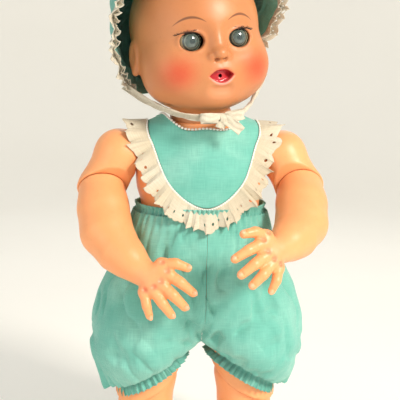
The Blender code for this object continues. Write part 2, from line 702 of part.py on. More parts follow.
def hand_shapes(side):
    """A chubby open hand: flat palm, four spread fingers and a thumb."""
    palm = [((-68, -69, 230), (-57, -79, 219), 12.0, 10.5), ((-60, -76, 228), (-46, -82, 231), 10, 8.5)]
    fingers = [  # base, middle joint, tip and radius
        ((-47, -81, 237), (-34, -86, 239), (-23, -88, 235), 5.2),
        ((-42, -84, 229), (-29, -90, 221), (-18, -90, 211), 5.4),
        ((-48, -85, 219), (-36, -92, 209), (-26, -91, 198), 5.4),
        ((-55, -84, 213), (-46, -91, 201), (-38, -90, 190), 5.2),
        ((-63, -81, 210), (-61, -87, 198), (-58, -86, 188), 4.7),
    ]
    shapes = []
    for start, end, r1, r2 in palm:
        shapes.append(("rod", mirrored(start, -side), mirrored(end, -side), r1, r2))
        shapes.append(("ball", mirrored(end, -side), r2))
    for base, joint, tip, radius in fingers:
        base, joint, tip = (mirrored(point, -side) for point in (base, joint, tip))
        hub = mirrored((-57, -79, 221), -side)
        shapes.append(("rod", hub, base, 9.0, radius + 1.4, 12))
        shapes.append(("ball", base, radius + 1.4, (0, 0, 1), 12))
        shapes.append(("rod", base, joint, radius + 1.2, radius, 12))
        shapes.append(("ball", joint, radius, (0, 0, 1), 12))
        shapes.append(("rod", joint, tip, radius, radius - 0.9, 12))
        shapes.append(("ball", tip, radius - 0.9, (0, 0, 1), 12))
    return shapes


def make_leg(side_name):
    side = sides[side_name]
    hip, knee = mirrored(HIP, side), mirrored(KNEE, side)
    down = mirrored(KNEE_AXIS, side)
    up = tuple(-value for value in down)

    thigh_end = tuple(Vector(hip).lerp(Vector(knee), 1.5))
    shapes = [("ball", hip, HIP_BALL_RADIUS), ("rod", hip, thigh_end, 32.5, THIGH_RADIUS)]
    upper = blended(shapes, 2.6, 2, 240)
    upper = cut(upper, rod(knee, along(knee, down, 90), 90))
    upper = cut(upper, ball(knee, (29.1, 29.1, 9.1), up, 16))
    upper = cut(upper, rod(along(knee, up, 4), along(knee, up, 14), 9.4))
    upper = cut(upper, rod(along(knee, up, 12.0), along(knee, up, 17.0), 15.0, segments=16))
    upper = cut(upper, ball((44 * side, 0, 140), 20.0, segments=10))
    upper = cut(upper, rod((0, 0, hip[2]), (44 * side, 0, hip[2]), 7.5))
    upper = cut(upper, rod((40 * side, 0, 172), (44 * side, 0, 140), 7.5))
    attach(finished(upper, "upper_leg_" + side_name, BODY_VINYL), hips[side_name])

    hook_at = (27 * side, 0, hip[2])
    ring = arc(hook_at, 4.2, 0, 300, 12) if side > 0 else arc(hook_at, 4.2, 180, 480, 12)
    stem = [(42 * side, 0, hip[2] - 12), (40 * side, 0, hip[2]), (36 * side, 0, hip[2])]
    hook = wire(stem + ring, 1.1)
    attach(finished(hook, "leg_hook_" + side_name, STEEL), hips[side_name])

    x = FOOT_X * side
    shapes = [
        ("rod", along(knee, down, 2), (x, 1, 66), 27.5, 27), ("ball", (x, 1, 66), 27),
        ("rod", (x, 1, 66), (x, 4, 34), 26, 18), ("ball", (x, 4, 32), 18),
        ("rod", (x, 4, 30), (x, 6, 10), 17.5, 16.5), ("ball", (x, 8, 11), (16, 17, 15)),
        ("rod", (x, 6, 20), (x + side, -34, 10), 16, 14), ("ball", (x + side, -38, 9), (17.5, 19, 12)),
        ("ball", (x + side, -10, 8), (15, 24, 13)),
    ]
    lower = blended(shapes, 2.4, 3, 380)
    lower = cut(lower, box((x - 60, -120, -40), (x + 60, 80, 0)))
    lower = cut(lower, rod(along(knee, down, 5), along(knee, up, 60), 90))
    lower = boolean(lower, rod(along(knee, down, 7), along(knee, down, -0.2), 28.4, segments=20), "UNION")
    lower = boolean(lower, ball(knee, (28.0, 28.0, 8.6), up, 18), "UNION")
    lower = boolean(lower, rod(along(knee, up, 5), along(knee, up, 14), 9.0), "UNION")
    flange = rod(along(knee, up, 12.5), along(knee, up, 15.5), 13.3, segments=16)
    lower = boolean(lower, flange, "UNION")
    attach(finished(lower, "lower_leg_" + side_name, BODY_VINYL), knees[side_name])


make_head_shell()
make_mouth_tube()
make_bonnet()
make_bonnet_tie()
make_torso()
make_inner_pieces()
make_drain_plug(150)
make_bib()
make_waistband()
make_bloomers()
make_straps()
for name in sides:
    make_eye(name)
    make_arm(name)
    make_leg(name)

neck_pivot.rotation_euler.z = math.radians(HEAD_TURN)
head_frame.rotation_euler.y = math.radians(HEAD_LEAN)
shoulders["right"].rotation_euler.x = -math.radians(RIGHT_SHOULDER_REST)
elbow_turn = Quaternion(-Vector(RIM_AXIS).normalized(), math.radians(RIGHT_ELBOW_REST))
elbows["right"].rotation_mode = "QUATERNION"
elbows["right"].rotation_quaternion = elbow_turn
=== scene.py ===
import json
import math

import bmesh
import bpy
import numpy as np
import openvdb
from mathutils import Matrix, Vector


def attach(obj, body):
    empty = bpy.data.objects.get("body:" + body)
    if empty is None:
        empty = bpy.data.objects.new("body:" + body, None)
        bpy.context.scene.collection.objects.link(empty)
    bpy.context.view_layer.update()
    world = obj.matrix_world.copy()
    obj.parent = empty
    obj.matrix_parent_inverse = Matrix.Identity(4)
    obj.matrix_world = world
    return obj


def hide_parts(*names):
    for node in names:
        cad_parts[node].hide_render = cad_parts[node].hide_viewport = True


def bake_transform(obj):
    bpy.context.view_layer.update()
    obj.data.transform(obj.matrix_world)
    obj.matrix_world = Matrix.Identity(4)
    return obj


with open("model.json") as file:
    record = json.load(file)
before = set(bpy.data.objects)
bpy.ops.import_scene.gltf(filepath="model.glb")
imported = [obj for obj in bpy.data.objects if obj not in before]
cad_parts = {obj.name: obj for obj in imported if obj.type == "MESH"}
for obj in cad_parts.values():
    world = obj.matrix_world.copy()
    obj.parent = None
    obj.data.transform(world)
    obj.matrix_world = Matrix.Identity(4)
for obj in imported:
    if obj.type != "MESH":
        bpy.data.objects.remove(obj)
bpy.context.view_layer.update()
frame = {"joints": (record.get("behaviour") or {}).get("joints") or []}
joints = {joint["name"]: joint for joint in frame["joints"]}

# ------------------------------------------------------------------ torso
# One hollow blow-moulded vinyl shell: round chest and belly, a ringed hole for the neck and two
# flat faces for the arms.  The skin is satin, with faint mottling and fine dark specks.

MM = 0.001
SHIFT = np.array([0.0, 22.0, 0.0])      # the doll's own axes run through its neck, 22 mm back


def lattice(low, high, step):
    """Three thin arrays that broadcast to every point of a box, in millimetres."""
    axes = [np.arange(a, b + step, step, dtype=np.float32) for a, b in zip(low, high)]
    return [axes[0][:, None, None], axes[1][None, :, None], axes[2][None, None, :]]


def lump(at, centre, radii, turn=None):
    """Distance to an ellipsoid, which turn can rotate."""
    p = [a - np.float32(c) for a, c in zip(at, centre)]
    if turn is not None:
        p = [sum(np.float32(turn[j][i]) * p[j] for j in range(3)) for i in range(3)]
    radii = (radii,) * 3 if isinstance(radii, (int, float)) else radii
    near = np.sqrt(sum((a / np.float32(r)) ** 2 for a, r in zip(p, radii)))
    far = np.sqrt(sum((a / np.float32(r * r)) ** 2 for a, r in zip(p, radii))) + 1e-6
    return near * (near - 1) / far


def limb(at, start, end, r1, r2=None):
    """Distance to a round cone between two points."""
    r2 = r1 if r2 is None else r2
    start, end = np.array(start, np.float32), np.array(end, np.float32)
    run = end - start
    p = [a - c for a, c in zip(at, start)]
    t = np.clip(sum(a * c for a, c in zip(p, run)) / np.float32(run @ run), 0, 1)
    gap = np.sqrt(sum((a - c * t) ** 2 for a, c in zip(p, run)))
    return gap - (r1 + (r2 - r1) * t)


def plane(at, point, axis):
    """Signed distance past a plane, along its axis."""
    axis = np.array(axis, float) / np.linalg.norm(axis)
    return sum((a - np.float32(c)) * np.float32(n) for a, c, n in zip(at, point, axis))


def hoop(at, centre, axis, radius, thickness):
    """Distance to a round hoop, for creases and rolled rims."""
    high = plane(at, centre, axis)
    wide = np.sqrt(np.maximum(sum((a - np.float32(c)) ** 2 for a, c in zip(at, centre)) - high**2, 0))
    return np.sqrt((wide - np.float32(radius)) ** 2 + high**2) - thickness


def joined(a, b, soft):
    """Union of two forms, with a fillet of about this size."""
    h = np.maximum(soft - np.abs(a - b), 0) / soft
    return np.minimum(a, b) - h * h * soft / 4


def carved(a, b, soft):
    """The first form without the second, with a rounded edge."""
    return -joined(-a, b, soft)


def shown(name, data):
    """A new object in the scene."""
    thing = bpy.data.objects.new(name, data)
    bpy.context.scene.collection.objects.link(thing)
    return thing


def skin_mesh(name, field, low, step, place=None):
    """The zero surface of a field of distances, as a mesh in metres."""
    grid = openvdb.FloatGrid(background=float(4 * step))
    grid.copyFromArray(np.clip(field, -4 * step, 4 * step).astype(np.float32))
    points, triangles, quads = grid.convertToPolygons(isovalue=0.0, adaptivity=0.0)
    points = (points * step + np.array(low) + SHIFT) * MM
    mesh = bpy.data.meshes.new(name)
    faces = [tuple(int(i) for i in reversed(face)) for face in [*quads, *triangles]]
    mesh.from_pydata([tuple(p) for p in points], [], faces)
    bm = bmesh.new()
    bm.from_mesh(mesh)
    bmesh.ops.smooth_vert(bm, verts=bm.verts, factor=0.4, use_axis_x=True, use_axis_y=True,
                          use_axis_z=True)
    if bm.calc_volume(signed=True) < 0:
        bmesh.ops.reverse_faces(bm, faces=bm.faces)
    bm.to_mesh(mesh)
    bm.free()
    if place is not None:
        mesh.transform(place)
    mesh.shade_smooth()
    return shown(name, mesh)


class Wire:
    """An output of a shader node, which takes part in sums."""

    def __init__(self, look, socket):
        self.look, self.socket = look, socket

    def maths(self, operation, *others):
        return self.look.add("ShaderNodeMath", {"operation": operation}, [self, *others])

    def __add__(self, other):
        return self.maths("ADD", other)

    def __mul__(self, other):
        return self.maths("MULTIPLY", other)

    def __sub__(self, other):
        return self.maths("SUBTRACT", other)

    def __truediv__(self, other):
        return self.maths("DIVIDE", other)

    def __pow__(self, other):
        return self.maths("POWER", other)

    def __rsub__(self, other):
        return self.look.add("ShaderNodeMath", {"operation": "SUBTRACT"}, [other, self])

    __radd__, __rmul__ = __add__, __mul__


class Look:
    """A material on one Principled shader, whose uniform values are set on its own sockets."""

    def __init__(self, name, **uniform):
        self.material = bpy.data.materials.new(name)
        self.material.use_nodes = True
        self.tree = self.material.node_tree
        self.shader = self.tree.nodes["Principled BSDF"]
        for key, value in uniform.items():
            self.shader.inputs[key.replace("_", " ")].default_value = value

    def add(self, kind, settings=None, values=(), out=0):
        """One node: its settings first, then the values or wires of its sockets."""
        node = self.tree.nodes.new(kind)
        for key, value in (settings or {}).items():
            if key == "stops":
                ramp = node.color_ramp.elements
                while len(ramp) < len(value):
                    ramp.new(0.5)
                for stop, (at, colour) in zip(ramp, value):
                    stop.position, stop.color = at, colour
            else:
                setattr(node, key, value)
        for key, value in values.items() if isinstance(values, dict) else enumerate(values):
            socket = node.inputs[key]
            if isinstance(value, Wire):
                self.tree.links.new(value.socket, socket)
            else:
                socket.default_value = value
        return Wire(self, node.outputs[out])

    def at(self, place=None):
        """Object coordinates in metres, or those of a placed part such as the head."""
        spot = self.add("ShaderNodeTexCoord", out="Object")
        if place is None:
            return spot
        return self.add("ShaderNodeMapping", {"vector_type": "TEXTURE"}, {
            "Vector": spot, "Location": place.to_translation(), "Rotation": place.to_euler()})

    def split(self, vector):
        node = self.add("ShaderNodeSeparateXYZ", values=[vector]).socket.node
        return [Wire(self, socket) for socket in node.outputs]

    def noise(self, vector, scale, detail=3.0, rough=0.55):
        return self.add("ShaderNodeTexNoise", values={
            "Vector": vector, "Scale": scale, "Detail": detail, "Roughness": rough})

    def ramp(self, value, low, high):
        """0 below low, 1 above high, and smooth between them."""
        return self.add("ShaderNodeMapRange", {"interpolation_type": "SMOOTHSTEP"},
                        {"Value": value, "From Min": low, "From Max": high})

    def near(self, vector, centre, radii, inner=0.3, outer=1.0):
        """1 inside an ellipsoid given in millimetres, fading to 0 outside it."""
        off = self.add("ShaderNodeVectorMath", {"operation": "SUBTRACT"},
                       [vector, tuple(c * MM for c in centre)])
        off = self.add("ShaderNodeVectorMath", {"operation": "DIVIDE"},
                       [off, tuple(r * MM for r in radii)])
        size = self.add("ShaderNodeVectorMath", {"operation": "LENGTH"}, [off], out="Value")
        return 1 - self.ramp(size, inner, outer)

    def mix(self, factor, first, second):
        node = self.tree.nodes.new("ShaderNodeMix")
        node.data_type = "RGBA"
        for socket, value in zip([node.inputs[0], node.inputs[6], node.inputs[7]],
                                 [factor, first, second]):
            if isinstance(value, Wire):
                self.tree.links.new(value.socket, socket)
            elif socket == node.inputs[0]:
                socket.default_value = value
            else:
                socket.default_value = (*value, 1.0)
        return Wire(self, node.outputs[2])

    def feed(self, socket, wire):
        self.tree.links.new(wire.socket, self.shader.inputs[socket])

    def bump(self, height, distance, strength=1.0):
        self.feed("Normal", self.add("ShaderNodeBump", values={
            "Strength": strength, "Distance": distance, "Height": height}))


def dress(piece, look):
    piece.data.materials.clear()
    piece.data.materials.append(look.material)
    return piece


def mottled(name, scale, light, dark, detail=3.0, **uniform):
    """A plain finish whose colour drifts between two tones."""
    look = Look(name, **uniform)
    look.feed("Base Color", look.mix(look.noise(look.at(), scale, detail), light, dark))
    return look


def vinyl(name, base, warm, deep):
    """Satin moulded vinyl: mottled base, warmer blotches and a very fine grain."""
    look = Look(name, Subsurface_Weight=0.12, Subsurface_Scale=0.004, Subsurface_Radius=(1, 0.4, 0.2))
    spot = look.at()
    cloud = look.ramp(look.noise(spot, 26.0), 0.35, 0.75)
    speck = look.ramp(look.noise(spot, 340.0, 2.0), 0.58, 0.80)
    colour = look.mix(cloud * 0.55, base, warm)
    colour = look.mix(speck * 0.18, colour, deep)
    return look, spot, colour


def satin_finish(look, spot, colour, rough):
    """Colour, gloss and grain of moulded vinyl."""
    look.feed("Base Color", colour)
    look.feed("Roughness", look.noise(spot, 60.0) * 0.16 + rough)
    look.bump(look.noise(spot, 900.0, 2.0) + look.noise(spot, 45.0, 1.0) * 2, 0.00012, 0.35)


def torso_field(at):
    """The torso's outside, which the clothes also lie on."""
    form = lump(at, (0, 2, 306), (66, 46, 47))
    form = joined(form, lump(at, (0, -5, 246), (70, 53, 58)), 16)
    form = joined(form, lump(at, (0, 6, 200), (66, 52, 50)), 14)
    form = joined(form, limb(at, (0, 2, 335), (0, 2, 375), 33), 10)
    for side in (-1, 1):
        form = joined(form, lump(at, (45 * side, 0, 326), 24), 10)
        form = joined(form, limb(at, (28 * side, 2, 345), (55 * side, 1, 340), 24, 19), 8)
    return form


HIP = np.array([40.0, 0.0, 172.0])
WALL = 4.0                                    # thickness of the torso's and the head's vinyl
low, step = (-80, -66, 140), 1.7
at = lattice(low, (80, 66, 372), step)
form = torso_field(at)
form = np.maximum(form, -(form + WALL))
# the bottom of the neck's ring, the flat faces for the arms, and room for each thigh as it swings
form = carved(form, plane(at, (0, 0, 367), (0, 0, -1)), 1.5)
form = carved(form, np.maximum(np.sqrt(at[0]**2 + (at[1] - 2)**2) - 24.6, 340 - at[2]), 1.0)
for side in (-1, 1):
    form = carved(form, plane(at, (66.6 * side, 0, 0), (-side, 0, 0)), 2.5)
    hip = HIP * (side, 1, 1)
    room = lump(at, hip, 37.2)
    for angle in (-20, 5, 30, 55):
        turn = math.radians(angle)
        end = hip + np.array([0, -math.sin(turn), -math.cos(turn)]) * 90
        room = np.minimum(room, limb(at, hip, end, 36.6))
    form = carved(form, room, 2.0)
torso = skin_mesh("torso_skin", form, low, step)
BODY_TONES = (0.90, 0.36, 0.145), (0.94, 0.42, 0.18), (0.66, 0.20, 0.07)
body_vinyl, spot, colour = vinyl("body_vinyl_skin", *BODY_TONES)
satin_finish(body_vinyl, spot, colour, 0.34)
dress(torso, body_vinyl)
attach(torso, "torso")
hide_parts("torso_shell")

# ------------------------------------------------------------------ head
# A hollow head of vinyl, cast in one with the grooved neck that turns in the torso's ring; its colour is
# darker than the body's, partly a tanner vinyl and partly painted shade of the bonnet.
# Its cheeks and lips are sprayed, its brows are painted, and its eyes sit in cut openings.

axis_x = Vector(joints["eye_tilt_left"]["axis"]).normalized()
axis_y = Vector((0, 0, 1)).cross(axis_x).normalized()
axis_z = axis_x.cross(axis_y)
eye_spots = [Vector(joints["eye_tilt_" + side]["pos_m"]) for side in ("left", "right")]
EYE = np.array([24.0, -44.0, 450.0])
turned = Matrix((axis_x, axis_y, axis_z)).transposed()
HEAD = Matrix.Translation((eye_spots[0] + eye_spots[1]) / 2) @ turned.to_4x4()
HEAD = HEAD @ Matrix.Translation((0, -EYE[1] * MM, -EYE[2] * MM))      # head's own frame, no shift
SHIFT_BACK = Matrix.Translation(-Vector(SHIFT * MM))

low, step = (-76, -80, 344), 1.15
at = lattice(low, (76, 84, 538), step)
form = lump(at, (0, 6, 462), (64, 70, 68))
form = joined(form, lump(at, (0, -12, 428), (60.5, 51, 41)), 14)
form = joined(form, lump(at, (0, -15, 410), (56.5, 48, 32)), 16)
form = joined(form, lump(at, (0, -45, 400), (23, 16.5, 14)), 14)
form = joined(form, lump(at, (0, -56, 417), (17, 10, 13)), 12)
for side in (-1, 1):
    form = joined(form, lump(at, (32 * side, -27, 424), (28, 28, 25)), 16)
    form = carved(form, lump(at, (25 * side, -66, 452), (17, 9, 12)), 12)
    # ear: rim, hollow and lobe
    form = joined(form, lump(at, (64.5 * side, 4, 435), (4.5, 10, 17)), 5)
    form = carved(form, lump(at, (69.5 * side, -1, 438), (3.8, 4.6, 9)), 3)
    form = joined(form, lump(at, (66 * side, 0, 422), (2.6, 4, 4)), 3)
form = joined(form, limb(at, (0, -55, 456), (0, -63, 440), 4.0, 5.0), 9)
form = joined(form, lump(at, (0, -66.0, 437.3), (7.4, 7.4, 6.4)), 3)
for side in (-1, 1):
    form = joined(form, lump(at, (7.9 * side, -62.8, 434.6), (4.4, 4.8, 4.3)), 2)
    form = carved(form, lump(at, (4.3 * side, -68.2, 431.4), (2.3, 3.8, 1.9)), 1.2)
form = carved(form, limb(at, (0, -69.8, 431), (0, -70.4, 425), 1.3), 3)

# mouth: a pointed opening between a bowed upper lip and a full lower lip
bow = np.maximum(1 - (at[0] / 12.8) ** 2, -0.6)
upper = 416.8 + 6.4 * bow - 1.1 * np.exp(-(at[0] / 2.6) ** 2)
lower = 416.8 - 7.4 * bow
gape = np.maximum(at[2] - upper, lower - at[2]) * 0.82
lip = 1.5 + 1.3 / (1 + np.exp(np.clip((at[2] - 414.0) * 0.8, -30, 30)))
lips = np.sqrt(gape ** 2 + (at[1] + 65.4 - 0.026 * at[0] ** 2) ** 2) - lip
form = joined(form, lips, 3.2)
form = carved(form, np.maximum(gape + 0.6, at[1] + 62.0 - 0.03 * at[0] ** 2), 1.6)
form = carved(form, limb(at, (-7, -66.5, 402.5), (7, -66.5, 402.5), 1.6), 9)
form = carved(form, limb(at, (0, -90, 416), (0, -50, 416), 1.7), 0.4)

# creases of the double chin and, under them, the neck
form = joined(form, limb(at, (0, 2, 365), (0, 2, 400), 30.0), 5)
form = carved(form, hoop(at, (0, -12, 386), (0, -0.28, -0.96), 45.5, 1.0), 2.5)
form = carved(form, form + WALL, 0.6)

# sockets: an almond opening in front of a round room, with a raised lid along it
for side in (-1, 1):
    eye = EYE * (side, 1, 1)
    squint = np.where(at[2] > eye[2], 8.9, 9.3)
    ring = np.sqrt(((at[0] - eye[0]) / 12.0) ** 2 + ((at[2] - eye[2]) / squint) ** 2)
    slope = np.maximum(side * (at[0] - eye[0]), -4.0) * 0.30
    lid = np.sqrt(((ring - 1) * 10.6) ** 2 + (at[1] + 56.0 - slope) ** 2) - 1.5
    form = joined(form, lid, 3.6)
    hole = np.maximum((ring - 0.965) * 10.4, plane(at, eye, (0, 1, 0)) + 0 * at[2])
    form = carved(form, hole, 1.2)
    form = carved(form, lump(at, eye, 13.2), 0.8)

# the neck's groove and flange fit the torso's ring
wide = np.sqrt(at[0] ** 2 + (at[1] - 2) ** 2)
neck_z = joints["neck_turn"]["pos_m"][2] / MM
form = carved(form, at[2] - neck_z - 7.0 + 0 * form, 1.0)
neck = np.maximum(wide - 24.0, np.maximum(at[2] - neck_z - 9, neck_z - 9 - at[2]))
neck = joined(neck, np.maximum(wide - 31, np.abs(at[2] - neck_z - 5) - 4.4), 1.0)
neck = joined(neck, np.maximum(wide - 27.5, np.abs(at[2] - neck_z + 5.8) - 1.8), 0.8)
form = joined(form, neck, 1.5)
form = carved(form, np.maximum(wide - 20.5, at[2] - neck_z - 14), 0.8)
head = skin_mesh("head_skin", form, low, step, HEAD @ SHIFT_BACK)

# the head's base tones are darker than the body's: partly tanner vinyl, partly painted shade of the bonnet
# over the face
head_vinyl, spot, colour = vinyl("head_vinyl_painted_shade_skin", (0.53, 0.20, 0.074), (0.59, 0.245, 0.095),
                                 (0.35, 0.11, 0.036))
face = head_vinyl.at(HEAD)
# cheeks: a sprayed blush that fades out all round
grain = head_vinyl.noise(face, 420.0, 2.0) * 0.35
blush = 0
for side in (-1, 1):
    patch = head_vinyl.near(face, (37 * side, -48, 421), (27, 34, 24), 0.05, 1.0)
    blush = patch + blush
colour = head_vinyl.mix((blush * (grain + 0.80)).maths("MINIMUM", 0.96), colour, (0.56, 0.055, 0.018))
# lips: the same bowed outline as the opening, paler below and darker above, partly their own paint and partly
# a painted highlight on the lower lip and painted shade on the upper; the mouth's inside is painted dark red,
# and its nursing hole near-black as painted shade
x, y, z = head_vinyl.split(face)
bow = (1 - (x / (12.8 * MM)) ** 2).maths("MAXIMUM", -0.6)
gape = (z - bow * (6.4 * MM) - 416.8 * MM).maths("MAXIMUM", bow * (-7.4 * MM) - z + 416.8 * MM) / MM
front = head_vinyl.ramp(y * -1.0, 0.050, 0.056)
lips = (1 - head_vinyl.ramp(gape, 0.8, 3.4)) * front
chin = head_vinyl.near(face, (0, -62, 402), (20, 18, 14), 0.1, 1.0)
colour = head_vinyl.mix(chin * 0.35, colour, (0.66, 0.29, 0.17))
low_lip = 1 - head_vinyl.ramp(z, 411 * MM, 417 * MM)
colour = head_vinyl.mix(lips * (low_lip * 0.45 + 0.40), colour,
                        head_vinyl.mix(low_lip, (0.62, 0.14, 0.07), (0.88, 0.30, 0.24)))
inside = (1 - head_vinyl.ramp(gape, -1.2, 0.5)) * front
colour = head_vinyl.mix(inside * 0.95, colour, (0.50, 0.018, 0.035))
# the nursing hole's near-black is painted shade inside the hole
hole = head_vinyl.near(face, (0, -60, 416), (2.0, 9.0, 2.0), 0.75, 1.0)
colour = head_vinyl.mix(hole, colour, (0.02, 0.004, 0.004))
for side in (-1, 1):
    # nostrils: darkened as painted shade in their hollows
    nostril_painted_shade = head_vinyl.near(face, (3.9 * side, -67.5, 432.2), (3.0, 4.5, 2.6), 0.2, 1.0)
    colour = head_vinyl.mix(nostril_painted_shade * 0.8, colour, (0.20, 0.04, 0.015))
    # the lids round each eye opening are darkened as painted shade of the socket's rim
    lid = head_vinyl.near(face, (24 * side, -56, 450.4), (14.6, 9.0, 12.0), 0.72, 1.0)
    colour = head_vinyl.mix(lid * 0.65, colour, (0.30, 0.08, 0.035))
# brows: a thin painted arc, thickest in its middle
for side in (-1, 1):
    along = (x - 25.5 * side * MM) / (15.8 * MM)
    rise = along * along * (-7.0 * MM) + along * (-side * 1.2 * MM) + 472.3 * MM
    off = (z - rise).maths("ABSOLUTE")
    thick = (1 - along * along).maths("MAXIMUM", 0.0) * 1.15 * MM
    brow = (1 - head_vinyl.ramp(off - thick, -0.5 * MM, 0.5 * MM)) * head_vinyl.ramp(thick, 0, 0.3 * MM)
    front = head_vinyl.ramp(y * -1.0, 0.0, 0.01)
    colour = head_vinyl.mix(brow * front * 0.85, colour, (0.14, 0.05, 0.022))
head_vinyl.feed("Base Color", colour)
head_vinyl.feed("Roughness", head_vinyl.noise(spot, 60.0) * 0.16 + 0.34 - inside * 0.22)
head_vinyl.bump(head_vinyl.noise(spot, 900.0, 2.0) + head_vinyl.noise(spot, 45.0, 1.0) * 2, 0.00012, 0.35)
dress(head, head_vinyl)
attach(head, "head")
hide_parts("head_shell")

# ------------------------------------------------------------------ sleep eyes
# Each eye is a glossy moulded ball with a printed, lensed iris.  A comb of stiff bristles is set in
# its upper edge, and the ball swings on a steel pin in a plastic cup behind the opening.

def strewn(name, path, look, shape, gap, size, centre, closed=False, seed=0, wobble=0.0):
    """Copies of a small shape at every gap along a path, standing away from a centre, as one mesh."""
    curve = bpy.data.curves.new(name, "CURVE")
    curve.dimensions = "3D"
    spline = curve.splines.new("POLY")
    spline.points.add(len(path) - 1)
    for point, co in zip(spline.points, path):
        point.co = (*co, 1.0)
    spline.use_cyclic_u = closed
    holder = shown(name, curve)
    tree = bpy.data.node_groups.new(name, "GeometryNodeTree")
    tree.interface.new_socket("Geometry", in_out="INPUT", socket_type="NodeSocketGeometry")
    inputs = {}
    for title, kind, value in (("Spacing", "Float", gap), ("Size", "Float", size),
                               ("Wobble", "Float", wobble), ("Centre", "Vector", tuple(centre))):
        socket = tree.interface.new_socket(title, in_out="INPUT", socket_type="NodeSocket" + kind)
        inputs[socket.identifier] = value
    tree.interface.new_socket("Geometry", in_out="OUTPUT", socket_type="NodeSocketGeometry")

    def node(kind, takes, **settings):
        """One node of the tree, and what its sockets take."""
        made = tree.nodes.new(kind)
        for key, value in settings.items():
            setattr(made, key, value)
        for key, value in takes.items():
            if isinstance(value, bpy.types.NodeSocket):
                tree.links.new(value, made.inputs[key])
            else:
                made.inputs[key].default_value = value
        return made.outputs

    given = node("NodeGroupInput", {})
    sampled = node("GeometryNodeResampleCurve", {"Curve": given["Geometry"], "Length": given["Spacing"]},
                   mode="LENGTH")
    away = node("ShaderNodeVectorMath", {0: node("GeometryNodeInputPosition", {})[0], 1: given["Centre"]},
                operation="SUBTRACT")
    turn = node("FunctionNodeAxesToRotation", {0: node("GeometryNodeInputTangent", {})[0], 1: away[0]},
                primary_axis="X", secondary_axis="Z")
    least = node("ShaderNodeMath", {0: 1.0, 1: given["Wobble"]}, operation="SUBTRACT")
    random = node("FunctionNodeRandomValue", {"Seed": seed, 2: least[0], 3: 1.0})
    scale = node("ShaderNodeMath", {0: random[1], 1: given["Size"]}, operation="MULTIPLY")
    one = node("GeometryNodeObjectInfo", {"Object": shape})
    spread = node("GeometryNodeInstanceOnPoints", {
        "Points": sampled[0], "Instance": one["Geometry"], "Rotation": turn[0], "Scale": scale[0]})
    real = node("GeometryNodeRealizeInstances", {0: spread[0]})
    finish = node("GeometryNodeSetMaterial", {0: real[0], "Material": look.material})
    node("NodeGroupOutput", {0: finish[0]})
    maker = holder.modifiers.new("maker", "NODES")
    maker.node_group = tree
    for identifier, value in inputs.items():
        maker[identifier] = value
    bpy.context.view_layer.update()
    mesh = bpy.data.meshes.new_from_object(holder.evaluated_get(bpy.context.evaluated_depsgraph_get()))
    bpy.data.objects.remove(holder)
    bpy.data.objects.remove(shape)
    return dress(shown(name, mesh), look)


def smooth_piece(name, bm):
    """The finished bmesh as an object with smooth shading."""
    mesh = bpy.data.meshes.new(name)
    bm.to_mesh(mesh)
    bm.free()
    mesh.shade_smooth()
    return shown(name, mesh)


def pattern(name, build):
    """A small shape that is only there to be copied; strewn removes it."""
    bm = bmesh.new()
    build(bm)
    return smooth_piece(name, bm)


def bristle(bm):
    bmesh.ops.create_cone(bm, cap_ends=True, segments=5, radius1=0.42, radius2=0.12, depth=7.4,
                          matrix=Matrix.Translation((0, 0, 3.2)))


